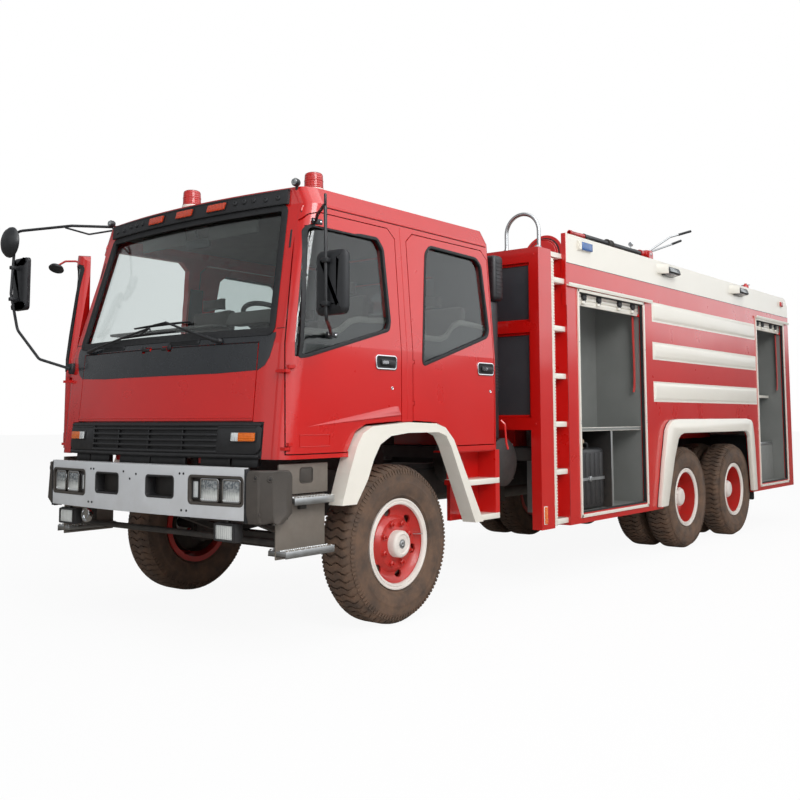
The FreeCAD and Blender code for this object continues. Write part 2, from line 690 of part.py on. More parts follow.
# ---------------------------------------------------------------- cab
def cabSection(inset, half, nose, height):
    """One level of the cab's outline: bowed front, rounded corners, flat rear."""
    half, nose, rear = half - inset, nose + inset, size("cabRear") - inset
    sag, front, back = size("noseSag"), size("cornerRound"), size("rearRound")
    edge = nose + sag
    turn = 1 - math.sqrt(0.5)
    def at(x, y):
        return Vector(x, y, height)
    edges = [Part.Arc(at(-half + front, edge), at(0, nose), at(half - front, edge)).toShape()]
    edges.append(Part.Arc(at(half - front, edge), at(half - front * turn, edge + front * turn),
                          at(half, edge + front)).toShape())
    edges.append(Part.LineSegment(at(half, edge + front), at(half, rear - back)).toShape())
    edges.append(Part.Arc(at(half, rear - back), at(half - back * turn, rear - back * turn),
                          at(half - back, rear)).toShape())
    edges.append(Part.LineSegment(at(half - back, rear), at(-half + back, rear)).toShape())
    edges.append(Part.Arc(at(-half + back, rear), at(-half + back * turn, rear - back * turn),
                          at(-half, rear - back)).toShape())
    edges.append(Part.LineSegment(at(-half, rear - back), at(-half, edge + front)).toShape())
    edges.append(Part.Arc(at(-half, edge + front), at(-half + front * turn, edge + front * turn),
                          at(-half + front, edge)).toShape())
    return Part.Wire(edges)


def envelope(label, inset, low):
    """The cab's outer form, drawn in by an inset."""
    levels = (
        (size("cabHalf"), size("noseLow"), low),
        (size("cabHalf"), size("noseBelt"), size("cabBelt")),
        (size("cabRoofHalf"), size("noseTop"), size("roofEdge") - inset / 3),
        (size("cabRoofHalf") - size("roofInset"), size("noseTop"), size("roofTop") - inset),
    )
    wires = [cabSection(inset, half, nose, height) for half, nose, height in levels]
    return shaped(label, Part.makeLoft(wires, True, True))


FRONT_DOOR = [
    ("seamLowY - 60", "doorLow"), ("archFront + 10", "doorLow"), ("archFront + 88", "archTop - 52"),
    ("archFront + 190", "archTop - 8"), ("frontDoorRear", "archTop + 10"), ("frontDoorRear", "doorTop - 60"),
    ("frontDoorRear - 70", "doorTop"), ("seamTopY + 58", "doorTop"), ("seamTopY + 8", "doorTop - 15"),
    ("seamTopY - 40", "doorTop - 70"), ("seamLowY - 60", "doorTop - 70"),
]
REAR_DOOR = [
    ("rearDoorFront", "archTop + 10"), ("archRear - 420", "archTop - 2"), ("archRear - 286", "archTop - 96"),
    ("archRear - 240", "doorLow + 12"), ("rearDoorRear", "doorLow + 12"), ("rearDoorRear", "doorTop - 60"),
    ("rearDoorRear - 70", "doorTop"), ("rearDoorFront + 70", "doorTop"), ("rearDoorFront", "doorTop - 60"),
]
FRONT_WINDOW = [
    ("seamLowY - 60", "1716"), ("-956", "1716"), ("-890", "1728"), ("-140", "1930"), ("-118", "1990"),
    ("-146", "2470"), ("-200", "2540"), ("-790", "2540"), ("seamLowY - 60", "2540"),
]
REAR_WINDOW = [
    ("232", "1712"), ("1020", "1962"), ("1050", "2010"), ("1010", "2500"), ("950", "2556"),
    ("380", "2568"), ("320", "2510"), ("216", "1760"),
]
SIDE_X = ("cabRoofHalf - 90", "cabHalf + 60")


def grown(outline, spread):
    """The outline with every edge moved out by the spread; points run anticlockwise."""
    corners = [Vector(size(u), size(v), 0) for u, v in outline]
    normals = []
    for start, end in zip(corners, corners[1:] + corners[:1]):
        along = (end - start).normalize()
        normals.append(Vector(along.y, -along.x, 0))
    points = []
    for index, (u, v) in enumerate(outline):
        before, after = normals[index - 1], normals[index]
        mitre = (before + after) * (1 / (1 + before.dot(after)))
        points.append((f"{u} + {spread} * ({mitre.x:.4f})", f"{v} + {spread} * ({mitre.y:.4f})"))
    return points


def seamWedge(label, offset):
    """Everything ahead of the front door's seam, which is cut square to the rounded corner."""
    step = size(offset) * math.sqrt(0.5)
    wires = []
    for height, x, y in (("cabLow - 40", "seamLowX", "seamLowY"), ("cabBelt", "seamBeltX", "seamBeltY"),
                         ("roofEdge + 10", "seamTopX", "seamTopY")):
        seam = Vector(size(x) + step, size(y) + step, size(height))
        outer = seam + Vector(120, -120, 0)
        inward = seam + Vector(-280, 280, 0)
        ahead = Vector(-300, -300, 0)
        wires.append(Part.makePolygon([outer, inward, inward + ahead, outer + ahead, outer]))
    return shaped(label, Part.makeLoft(wires, True, True))


def hingeSet(label, x, y, span, heights, leafed):
    """Pillar brackets with pins, and the door's leaves, notches and bores; span is the bracket's reach."""
    inward, ahead, pinRadius = span
    brackets, leaves, tools = [], [], []
    for index, z in enumerate(heights):
        brackets.append(block(f"{label}Bracket{index}", (f"{x} - {inward}", f"{x} + 4"),
                              (f"{y} - {ahead}", f"{y} + 6"), (z, f"{z} + 18")))
        brackets.append(rod(f"{label}Pin{index}", "z", z, f"{z} + 44", (x, y), pinRadius))
        tools.append(block(f"{label}Notch{index}", (f"{x} - {inward} - 5", f"{x} + 20"),
                           (f"{y} - {ahead} - 10", f"{y} + 12"), (f"{z} - 6", f"{z} + 24")))
        tools.append(rod(f"{label}Bore{index}", "z", z, f"{z} + 50", (x, y), f"{pinRadius} + running"))
        if leafed:
            leaves.append(block(f"{label}Leaf{index}", (f"{x} - 16", f"{x} + 8"), (f"{y} - 5", f"{y} + 44"),
                                (f"{z} + 24", f"{z} + 44")))
    return brackets, leaves, tools


def cabDoor(name, outline, window, ring, glassRing, seams, hinges):
    """A door as thick as the cab wall, its pane, and its way through the wall."""
    brackets, leaves, tools = hinges
    way = prism(name + "Opening", "x", grown(outline, "gap"), *SIDE_X)
    blank = prism(name + "Blank", "x", outline, *SIDE_X)
    hole = prism(name + "Window", "x", window, *SIDE_X)
    if seams:
        blank = cut(name + "BlankSeam", blank, [seams[0]])
        way = cut(name + "WaySeam", way, [seams[1]])
        hole = cut(name + "HoleSeam", hole, [seams[2]])
    slab = common(name + "Slab", ring, blank)
    whole = fuse(name + "Solid", [slab] + leaves) if leaves else slab
    door = cut(name, whole, [hole] + tools)
    pane = common(name + "Pane", glassRing, hole)
    return door, pane, pair(name + "Way", way), pair(name + "Brackets", fuse(name + "BracketSet", brackets))


def opened(label, source, angle):
    """A right-hand door turned open about its hinge line."""
    copy = doc.addObject("Part::Compound", label)
    copy.Links = [source]
    hinge = Vector(-size("cabHalf - hingeInset"), size("frontDoorFront"), 0)
    copy.Placement = FreeCAD.Placement(Vector(), FreeCAD.Rotation(Vector(0, 0, 1), angle), hinge)
    return copy


def serviceLid(panel):
    """The lid below the windscreen with its hinge eyes, the shell's pins, and the room cut for the eyes."""
    axis = ("noseBelt", "lidTop")
    eye = rod("LidEyeLeft", "x", "62", "118", axis, "lidPinRadius + 5")
    bore = rod("LidBoreLeft", "x", "55", "125", axis, "lidPinRadius + running")
    notch = block("LidNotch", ("120", "156"), ("noseBelt - 30", "noseBelt + 60"), ("lidTop - 20", "lidTop + 10"))
    room = rod("LidRoomLeft", "x", "56", "124", axis, "lidPinRadius + 11")
    bracket = block("LidBracket", ("126", "150"), ("noseBelt - 5", "noseBelt + 30"), ("lidTop - 6", "lidTop + 22"))
    pin = rod("LidPin", "x", "62", "150", axis, "lidPinRadius")
    whole = fuse("LidSolid", [panel, pair("LidEyes", eye)])
    lid = cut("FrontLid", whole, [pair("LidBores", bore), pair("LidNotches", notch)])
    return lid, pair("LidBrackets", fuse("LidHingeHalf", [bracket, pin])), pair("LidRoom", room)


def archTrim():
    """White flare round the front wheel arch."""
    outer = [
        ("archFront - 88", "820"), ("archFront - 20", "1015"), ("archFront + 48", "archTop - 146"),
        ("archFront + 102", "archTop - 68"), ("archFront + 196", "archTop - 24"), ("0", "archTop"),
        ("archRear - 500", "archTop - 10"), ("archRear - 392", "archTop - 40"),
        ("archRear - 296", "archTop - 124"), ("archRear + 60", "598"),
    ]
    inner = [
        ("archRear - 40", "598"), ("archRear - 330", "archTop - 170"),
        ("archRear - 388", "archTop - 96"), ("archRear - 470", "archTop - archBand"), ("0", "archTop - archBand"),
        ("archFront + 376", "archTop - archBand - 18"), ("archFront + 270", "archTop - archBand - 70"),
        ("archFront + 206", "1090"), ("archFront + 148", "965"), ("archFront + 44", "820"),
    ]
    return prism("ArchTrim", "x", outer + inner, "cabHalf - wall - gap", "cabHalf + archProud")


def cabFloor(inner, doorClear):
    """Floor pan with the engine tunnel, pivot arms and the rear step wells."""
    high = "floorLow + floorThick"
    whole = block("FloorBlank", ("-cabHalf", "cabHalf"), ("noseLow", "cabRear"), ("floorLow", high))
    middle = block("FloorMiddle", ("-700", "700"), ("noseLow", "cabRear"), ("floorLow", high))
    sheetPan = fuse("FloorSheet", [common("FloorSides", whole, doorClear), common("FloorEnds", middle, inner)])
    swing = rod("DoorSwing", "z", "floorLow - 10", f"{high} + 10", ("cabHalf - hingeInset", "frontDoorFront"),
                "doorSwing")
    pan = cut("FloorPan", sheetPan, [pair("DoorSwings", swing)])
    tunnel = block("Tunnel", ("-440", "440"), ("-760", "cabRear - 180"), ("floorLow", "floorLow + 250"))
    hollow = block("TunnelHollow", ("-404", "404"), ("-724", "cabRear - 216"), ("floorLow - 5", "floorLow + 214"))
    arm = block("PivotArm", ("railOuter - 20", "railOuter + 30"), ("tiltPivotY - 20", "tiltPivotY + 150"),
                ("tiltPivotZ - 26", "floorLow + 10"))
    bore = rod("PivotBore", "x", "railOuter - 30", "railOuter + 60", ("tiltPivotY", "tiltPivotZ"), "18 + running")
    wellBack = block("WellBack", ("cabHalf - 190", "cabHalf - 160"), ("archRear - 60", "cabRear - wall"),
                     ("598", "floorLow + 10"))
    wellRear = block("WellRear", ("cabHalf - 190", "cabHalf"), ("cabRear - wall", "cabRear"),
                     ("598", "cabLow"))
    treads = [block(f"RearStep{index}", ("cabHalf - 190", "cabHalf"), (front, "cabRear"), (z, f"{z} + 36"))
              for index, (front, z) in enumerate((("archRear - 90", 860), ("archRear + 64", 598)))]
    side = fuse("WellLeft", [wellBack, wellRear] + treads)
    solid = fuse("FloorSolid", [pan, tunnel, pair("Wells", side), pair("PivotArms", arm)])
    return cut("CabFloor", solid, [hollow, pair("PivotBores", bore)])


def cabInterior():
    """Seats on plinths, the dashboard and the steering wheel."""
    high = "floorLow + floorThick"
    seats = []
    for index, (x, y, wide) in enumerate(((690, -560, 230), (-690, -560, 230), (0, 420, 1040))):
        seats.append(block(f"SeatCushion{index}", (x - wide, x + wide), (y, y + 500),
                           (f"{high} + 300", f"{high} + 430")))
        seats.append(block(f"SeatBack{index}", (x - wide, x + wide), (y + 440, y + 560),
                           (f"{high} + 430", f"{high} + 1000")))
        for foot in {x - wide + 110, x + wide - 110}:
            seats.append(block(f"SeatBase{index}", (foot - 100, foot + 100), (y, y + 460), (high, f"{high} + 300")))
    node("seats", group("Seats", seats))
    dash = prism("Dashboard", "x", [
        ("noseBelt + 230", f"{high} + 360"), ("-760", f"{high} + 400"), ("-720", f"{high} + 520"),
        ("-840", "1850"), ("noseBelt + 210", "1850")], "-cabHalf + 110", "cabHalf - 110")
    foot = block("DashFoot", ("-420", "420"), ("noseBelt + 230", "-770"), (high, f"{high} + 420"))
    wheel = doc.addObject("Part::Torus", "SteeringRing")
    bind(wheel, "Radius1", "steeringRadius")
    wheel.Radius2 = 16
    spoke = block("SteeringSpoke", ("-steeringRadius", "steeringRadius"), ("-22", "22"), ("-12", "8"))
    pad = rod("SteeringPad", "z", "-22", "22", ("0", "0"), "62")
    column = doc.addObject("Part::Compound", "SteeringColumn")
    column.Links = [rod("ColumnTube", "z", "-250", "-22", ("0", "0"), "24")]
    steering = doc.addObject("Part::Compound", "Steering")
    steering.Links = [fuse("SteeringSolid", [wheel, spoke, pad])]
    middle = Vector(size("steeringX"), size("steeringY"), size("steeringZ"))
    for thing in (column, steering):
        thing.Placement = FreeCAD.Placement(middle, FreeCAD.Rotation(Vector(1, 0, 0), -32))
    node("steering_wheel", steering)
    node("dashboard", fuse("Dash", [dash, foot, column]))


def rightMirror(outer):
    """Mirror frame on the right front corner: a round mirror, a flat one and a kerb mirror."""
    top = bentTube("MirrorArmTop", [("-1000", "-700", "roofTop + 16"), ("-1260", "-980", "roofTop + 14"),
                                    ("-1600", "-1240", "2776"), ("-1608", "-1260", "2300"),
                                    ("-1604", "-1200", "2030"), ("-1300", "-1190", "1795"),
                                    ("-1100", "-1056", "1722")], "11", "30")
    shoe = block("MirrorShoe", ("-1030", "-970"), ("-740", "-670"), ("roofTop", "roofTop + 28"))
    foot = cut("MirrorFoot", block("MirrorFootBlank", ("-1128", "-1072"), ("-1078", "-1021"), ("1680", "1764")),
               [outer])
    flat = block("MirrorFlat", ("-1700", "-1500"), ("-1210", "-1164"), ("2180", "2580"))
    round_ = rod("MirrorRound", "y", "-1330", "-1275", ("-1600", "2690"), "118")
    roundStay = block("MirrorStay", ("-1612", "-1588"), ("-1290", "-1230"), ("2678", "2702"))
    flatStay = block("FlatStay", ("-1616", "-1596"), ("-1260", "-1200"), ("2340", "2364"))
    return fuse("RightMirror", [top, shoe, foot, flat, round_, roundStay, flatStay])


def leftMirror(outer):
    """Tall flat mirror on a rod between two brackets of the left front door."""
    rod_ = bentTube("LeftMirrorRod", [("1060", "-790", "2530"), ("1540", "-1130", "2530"), ("1556", "-1120", "1880"),
                                      ("1140", "-1010", "1850")], "10", "26")
    head = block("LeftMirrorHead", ("1452", "1684"), ("-1112", "-1066"), ("1926", "2290"))
    whole = fuse("LeftMirrorSolid", [rod_, head])
    return cut("LeftMirror", whole, [outer])


def buildCab():
    low = size("cabLow")
    deep = low - 40
    outer = envelope("CabOuter", 0, low)
    inner = envelope("CabInner", size("wall"), deep)
    skinIn = envelope("CabSkinInner", size("skin"), deep)
    glassOut = envelope("GlassOuter", size("glassOut"), deep)
    glassIn = envelope("GlassInner", size("glassOut") + size("glassThick"), deep)
    ring = cut("CabRing", outer, [inner])
    skin = cut("CabSkin", outer, [skinIn])
    glassRing = cut("GlassRing", glassOut, [glassIn])

    seams = [seamWedge(f"Seam{index}", offset) for index, offset in enumerate(("0", "-gap", "doorFrame"))]
    frontHinges = hingeSet("FrontHinge", "cabHalf - hingeInset", "frontDoorFront", (84, 30, 3),
                           ("hingeLow", "hingeHigh"), True)
    rearHinges = hingeSet("RearHinge", "cabHalf - 4", "rearDoorFront + 4", (8, 16, 3),
                          ("rearHingeLow", "rearHingeHigh"), False)
    frontDoor, frontPane, frontWay, frontBrackets = cabDoor("FrontDoor", FRONT_DOOR, FRONT_WINDOW, ring, glassRing,
                                                            seams, frontHinges)
    rearDoor, rearPane, rearWay, rearBrackets = cabDoor("RearDoor", REAR_DOOR, REAR_WINDOW, ring, glassRing,
                                                        None, rearHinges)
    node("door_front_left", frontDoor)
    node("door_glass_front_left", frontPane)
    node("door_rear_left", rearDoor)
    node("door_glass_rear_left", rearPane)
    node("door_rear_right", mirrored("RearDoorMirror", rearDoor))
    node("door_glass_rear_right", mirrored("RearPaneMirror", rearPane))
    angle = size("rightDoorOpen")
    node("door_front_right", opened("FrontDoorOpen", mirrored("FrontDoorMirror", frontDoor), angle))
    node("door_glass_front_right", opened("FrontPaneOpen", mirrored("FrontPaneMirror", frontPane), angle))

    screen = [("-cabHalf + 178", "screenLow"), ("cabHalf - 178", "screenLow"),
              ("cabRoofHalf - 205", "screenTop"), ("-cabRoofHalf + 205", "screenTop")]
    lidOutline = [("-lidHalf", "lidLow"), ("lidHalf", "lidLow"), ("lidHalf", "lidTop"), ("-lidHalf", "lidTop")]
    grilleOutline = [("-grilleHalf", "cabLow"), ("grilleHalf", "cabLow"),
                     ("grilleHalf", "lidLow - gap"), ("-grilleHalf", "lidLow - gap")]
    frontSpan = ("noseLow - 60", "noseTop + 300")
    lidSheet = cut("LidSheet", outer, [envelope("LidInner", size("lidThick"), deep)])
    lidPanel = common("LidPanel", lidSheet, prism("LidBlank", "y", lidOutline, *frontSpan))
    lid, lidBrackets, lidRoom = serviceLid(lidPanel)
    grille = common("GrillePanel", skin, prism("GrilleBlank", "y", grilleOutline, *frontSpan))
    slots = []
    for index in range(4):
        slots.append(block(f"GrilleSlot{index}", ("-640", "640"), ("noseLow - 60", "noseLow + 200"),
                           (f"cabLow + 52 + {index * 38}", f"cabLow + 74 + {index * 38}")))
    screenPane = common("Screen", glassRing, prism("ScreenBlank", "y", screen, *frontSpan))
    rearSpan = ("cabRear - 200", "cabRear + 60")
    rearOutline = [("-620", "2000"), ("620", "2000"), ("620", "2480"), ("-620", "2480")]
    rearPaneBlank = prism("RearLightBlank", "y", rearOutline, *rearSpan)
    rearLight = common("RearLight", glassRing, rearPaneBlank)

    lidWay = common("LidWay", skin, prism("LidWayBlank", "y", grown(lidOutline, "gap"), *frontSpan))
    grilleWay = common("GrilleWay", skin, prism("GrilleWayBlank", "y", grilleOutline, *frontSpan))
    screenWay = prism("ScreenWay", "y", screen, *frontSpan)
    rearLightWay = prism("RearLightWay", "y", rearOutline, *rearSpan)
    arch = block("ArchWay", ("-cabHalf - 60", "cabHalf + 60"), ("archFront + 20", "archRear - 240"),
                 ("cabLow - 100", "archTop + 4"))
    belly = block("CabBelly", ("-cabHalf + 200", "cabHalf - 200"), ("noseBelt + 200", "cabRear + 60"),
                  ("cabLow - 100", "floorLow"))
    shell = cut("CabWalls", ring, [frontWay, rearWay, lidWay, grilleWay, screenWay, rearLightWay, arch, belly,
                                   lidRoom])
    node("cab_shell", fuse("CabShell", [shell, frontBrackets, rearBrackets, lidBrackets]))
    node("front_lid", lid)
    node("grille", cut("Grille", grille, slots))
    node("cab_glass", fuse("CabGlass", [screenPane, rearLight]))
    node("arch_trims", pair("ArchTrims", archTrim()))
    node("cab_floor", cabFloor(inner, envelope("DoorClear", size("wall") + size("gap"), deep)))
    cabInterior()
    node("right_mirror", rightMirror(outer))
    node("left_mirror", leftMirror(outer))

    beacons = []
    for index, (x, y) in enumerate((("900", "-560"), ("-100", "-760"))):
        beacons.append(rod(f"BeaconFoot{index}", "z", "roofTop", "roofTop + 42", (x, y), "74"))
        beacons.append(rod(f"BeaconDome{index}", "z", "roofTop + 42", "roofTop + 150", (x, y), "64"))
    bandOuter = envelope("BandOuter", -16, low)
    band = block("BandBlank", ("-940", "940"), ("noseTop - 60", "noseTop + 96"), ("bandLow", "bandHigh"))
    node("header_band", cut("HeaderBand", common("BandShape", bandOuter, band), [outer]))
    markerOuter = envelope("MarkerOuter", -22, low)
    for index, x in enumerate((-310, 12, 334)):
        marker = block(f"RoofMarker{index}", (x - 92, x + 92), ("noseTop - 60", "noseTop + 90"),
                       ("bandLow + 26", "bandHigh - 22"))
        beacons.append(cut(f"MarkerLens{index}", common(f"MarkerShape{index}", markerOuter, marker), [bandOuter]))
    turnBlank = block("TurnBlank", ("794", "992"), ("noseLow + 20", "noseLow + 90"), ("1196", "1290"))
    turnLamp = cut("TurnLamp", turnBlank, [outer])
    node("cab_lamps", fuse("CabLamps", beacons + [pair("TurnLamps", turnLamp)]))


# ---------------------------------------------------------------- tank body
def sidePanel():
    """Left body side: locker openings and the rear wheel arch cut out of one panel."""
    sheetSide = block("SideSheet", ("bodyHalf - panel", "bodyHalf"), ("recessRear", "bodyRear - panel"),
                      ("skirt", "bandTop"))
    one = block("LockerOneWay", ("bodyHalf - panel - 10", "bodyHalf + 10"), ("lockerOneFront", "lockerOneRear"),
                ("sill", "lockerOneTop"))
    two = block("LockerTwoWay", ("bodyHalf - panel - 10", "bodyHalf + 10"), ("lockerTwoFront", "lockerTwoRear"),
                ("sill", "lockerTwoTop"))
    arch = prism("RearArchWay", "x", [
        ("fenderFront + 130", "skirt - 30"), ("fenderFront + 330", "fenderTop - 260"),
        ("fenderFront + 440", "fenderTop - 90"), ("fenderRear - 240", "fenderTop - 90"),
        ("fenderRear - 106", "fenderTop - 220"), ("fenderRear - 26", "skirt - 30")],
        "bodyHalf - panel - 10", "bodyHalf + 10")
    return cut("SidePanel", sheetSide, [one, two, arch])


def fenderTrim():
    """White trim round the rear wheel arch."""
    outline = [
        ("fenderFront", "skirt + 24"), ("fenderFront + 110", "skirt + 464"),
        ("fenderFront + 200", "fenderTop - 112"), ("fenderFront + 330", "fenderTop - 12"),
        ("fenderFront + 480", "fenderTop"), ("fenderRear - 300", "fenderTop"),
        ("fenderRear - 96", "fenderTop - 48"), ("fenderRear - 40", "fenderTop - 360"),
        ("fenderRear", "skirt + 24"), ("fenderRear - 126", "skirt + 24"),
        ("fenderRear - 200", "fenderTop - 216"), ("fenderRear - 312", "fenderTop - fenderBand"),
        ("fenderFront + 604", "fenderTop - fenderBand"), ("fenderFront + 458", "fenderTop - 200"),
        ("fenderFront + 357", "fenderTop - 380"), ("fenderFront + 165", "skirt + 24"),
    ]
    return prism("FenderTrim", "x", outline, "bodyHalf", "bodyHalf + fenderProud")


def bodyFront():
    """Front wall of beams and recessed panels, corner columns and the ladder recesses."""
    front = ("bodyFront", "bodyFront + 60")
    sunk = ("bodyFront + 35", "bodyFront + 60")
    edge = "bodyHalf - 90"
    wall = [
        block("FrontTopBeam", ("-bodyHalf", "bodyHalf"), front, ("2620", "deckTop")),
        block("FrontMiddleBeam", (f"-({edge})", edge), front, ("2044", "2130")),
        block("FrontLowBeam", ("-bodyHalf", "bodyHalf"), front, ("1250", "1350")),
        block("FrontUpperPanel", (f"-({edge})", edge), sunk, ("2130", "2620")),
        block("FrontLowerPanel", (f"-({edge})", edge), sunk, ("1350", "2044")),
    ]
    recess = "bodyHalf - recessDepth"
    height = ("skirt", "deckTop - deckThick")
    column = [
        block("FrontUpright", (edge, "bodyHalf"), front, ("1350", "2620")),
        block("ColumnFoot", (edge, "bodyHalf"), front, ("skirt", "1250")),
        block("ColumnSide", ("bodyHalf - panel", "bodyHalf"), ("bodyFront + 60", "columnRear"),
              ("skirt", "deckTop")),
        block("ColumnBack", (recess, "bodyHalf - panel"), ("columnRear - 30", "columnRear"), height),
        block("RecessBack", (f"{recess} - 30", recess), ("columnRear - 30", "recessRear + 30"), height),
        block("RecessEnd", (recess, "bodyHalf - panel"), ("recessRear", "recessRear + 30"), height),
    ]
    return group("BodyFront", wall + [bothSides("Columns", column)])


def ladder():
    """Climbing ladder in the recess, with a bent grab rail on the roof's corner."""
    back = "bodyHalf - recessDepth"
    rail = block("LadderRail", (back, "bodyHalf - 28"), ("columnRear", "columnRear + 52"),
                 ("skirt + 10", "deckTop - deckThick - 20"))
    rungs = [block(f"Rung{index}", (back, "bodyHalf - 16"), ("columnRear + 52", "recessRear"), (z, z + 44))
             for index, z in enumerate((478, 880, 1272, 1672, 2072, 2480))]
    grab = bentTube("GrabRail", [("914", "1722", "deckTop"), ("914", "1722", "3036"), ("1228", "1722", "3036"),
                                 ("1228", "1722", "deckTop")], "16", "150")
    return [rail, grab] + rungs


def lockers():
    """Grey linings of the two lockers on one side, with their shelves and lower divider."""
    out = "bodyHalf - panel"
    back = "bodyHalf - lockerDepth"
    parts = []
    for tag, front, rear, top in (("One", "lockerOneFront", "lockerOneRear", "lockerOneTop + 180"),
                                  ("Two", "lockerTwoFront", "lockerTwoRear", "lockerTwoTop + 90")):
        wallBack = block(f"LiningBack{tag}", (f"{back} - lining", back), (f"{front} - lining", f"{rear} + lining"),
                         ("sill - lining", top))
        wallFront = block(f"LiningFront{tag}", (back, out), (f"{front} - lining", front), ("sill - lining", top))
        wallRear = block(f"LiningRear{tag}", (back, out), (rear, f"{rear} + lining"), ("sill - lining", top))
        floor = block(f"LiningFloor{tag}", (back, out), (front, rear), ("sill - lining", "sill"))
        ceiling = block(f"LiningTop{tag}", (f"{back} - lining", out), (f"{front} - lining", f"{rear} + lining"),
                        (top, f"{top} + lining"))
        parts += [wallBack, wallFront, wallRear, floor, ceiling]
    shelf = block("ShelfOne", (back, out), ("lockerOneFront", "lockerOneRear"), ("shelfHeight - 24", "shelfHeight"))
    divider = block("DividerOne", (back, out), ("lockerOneFront + 640", "lockerOneFront + 664"),
                    ("sill", "shelfHeight - 24"))
    shelfTwo = block("ShelfTwo", (back, f"{back} + 300"), ("lockerTwoFront", "lockerTwoRear"), ("1600", "1624"))
    boxTwo = block("BoxTwo", (back, f"{back} + 330"), ("lockerTwoFront", "lockerTwoRear"), ("sill", "1020"))
    return parts + [shelf, divider, shelfTwo, boxTwo]


def shutters():
    """Roller shutters of one side, wound up on their drums, with the bottom bars showing."""
    out = "bodyHalf - panel"
    parts = []
    for tag, front, rear, top in (("One", "lockerOneFront", "lockerOneRear", "lockerOneTop"),
                                  ("Two", "lockerTwoFront", "lockerTwoRear", "lockerTwoTop")):
        bar = block(f"ShutterBar{tag}", (f"{out} - 34", f"{out} - 6"), (front, rear), (f"{top} - 110", f"{top} + 50"))
        drum = rod(f"ShutterDrum{tag}", "y", front, rear, (f"{out} - 70", f"{top} + 10"), "58")
        parts += [bar, drum]
    return fuse("ShuttersSide", parts)


def bodyFloor():
    """Subframe on the chassis rails, cross bearers and the rear wheel housings."""
    inner, side = "railOuter - railWidth", "bodyHalf - panel"
    height = ("railTop + 20", "tankLow")
    hangFront, hangRear = "lockerOneRear + 50", "lockerTwoFront - 76"
    middle, left = [], [block("Bearer", (inner, "railOuter"), ("bodyFront + 60", "frameRear"),
                              ("railTop", "tankLow"))]
    for index, y in enumerate(("bodyFront + 60", "recessRear + 60", f"{hangFront} + 16", f"{hangRear} - 60",
                               "lockerTwoRear + 50")):
        middle.append(block(f"BearerMiddle{index}", (f"-({inner})", inner), (y, f"{y} + 60"), height))
        left.append(block(f"BearerSide{index}", ("railOuter", side), (y, f"{y} + 60"), height))
    left.append(block("WheelHousing", ("tankHalf", side), (f"{hangFront} + 16", hangRear),
                      ("fenderTop - 60", "fenderTop - 44")))
    for label, y in (("HousingFront", hangFront), ("HousingRear", hangRear)):
        left.append(block(label, ("tankHalf", side), (y, f"{y} + 16"), ("skirt + 40", "fenderTop - 44")))
    return group("BodyFloor", middle + [bothSides("BodySides", left)])


def waterTank():
    return block("Tank", ("-tankHalf", "tankHalf"), ("recessRear + 40", "bodyRear - 160"),
                 ("tankLow", "deckTop - deckThick"))


def roofDeck():
    """Walkway deck with white parapets, the tank's manhole neck and the monitor's pedestal."""
    side = "bodyHalf - panel"
    thick = ("deckTop - deckThick", "deckTop")
    before, behind = "manholeY - manholeRadius - 60", "manholeY + manholeRadius + 60"
    hole = rod("ManholeHole", "z", "deckTop - deckThick - 5", "manholeTop + 5", ("0", "manholeY"),
               "manholeRadius - 34")
    deck = [
        block("DeckFront", (f"-({side})", side), ("bodyFront + 60", before), thick),
        cut("DeckMiddle", block("DeckMiddleBlank", (f"-({side})", side), (before, behind), thick), [hole]),
        block("DeckRear", (f"-({side})", side), (behind, "bodyRear - panel"), thick),
        block("DeckEdge", (f"-({side})", side), ("bodyRear - panel", "bodyRear"), ("bandTop", "deckTop + 40")),
    ]
    parapet = prism("Parapet", "x", [
        ("recessRear", "bandTop"), ("bodyRear", "bandTop"), ("bodyRear", "parapetTop - 90"),
        ("bodyRear - 110", "parapetTop"), ("recessRear", "parapetTop")], side, "bodyHalf")
    neck = cut("ManholeNeck", rod("NeckBlank", "z", "deckTop", "manholeTop - 14", ("0", "manholeY"),
                                  "manholeRadius - 14"), [hole])
    ear = block("HingeEar", ("60", "90"), ("manholeY + manholeRadius + 8", "manholeY + manholeRadius + 52"),
                ("deckTop", "manholeTop + 18"))
    pin = rod("HingePin", "x", "-90", "90", ("manholeY + manholeRadius + 30", "manholeTop - 5"), "8")
    hinge = fuse("ManholeHinge", [pair("HingeEars", ear), pin])
    flange = rod("MonitorFlange", "z", "deckTop", "deckTop + 30", ("0", "monitorY"), "150")
    post = rod("MonitorPost", "z", "deckTop", "monitorZ - 260", ("0", "monitorY"), "70")
    pedestal = fuse("MonitorPedestal", [flange, post])
    return group("RoofDeck", deck + [bothSides("Parapets", [parapet]), neck, hinge, pedestal])


def rearPanel():
    """Rear wall with the closed pump-room shutter in its frame."""
    wallBlock = block("RearWall", ("-bodyHalf", "bodyHalf"), ("bodyRear - panel", "bodyRear"), ("skirt", "bandTop"))
    recess = block("RearRecess", ("-860", "860"), ("bodyRear - 22", "bodyRear + 10"), ("760", "2460"))
    return cut("RearPanel", wallBlock, [recess])


def buildBody():
    left = node("side_panel_left", sidePanel())
    node("side_panel_right", mirrored("SidePanelMirror", left))
    node("fender_trims", pair("FenderTrims", fenderTrim()))
    node("body_front", bodyFront())
    node("ladders", bothSides("Ladders", ladder()))
    node("locker_linings", bothSides("LockerLinings", lockers()))
    shutterBars = pair("ShutterBars", shutters())
    rearShutter = block("RearShutter", ("-860", "860"), ("bodyRear - 22", "bodyRear - 8"), ("760", "2460"))
    node("shutters", fuse("Shutters", [shutterBars, rearShutter]))
    node("body_floor", bodyFloor())
    node("water_tank", waterTank())
    node("roof_deck", roofDeck())
    node("rear_panel", rearPanel())


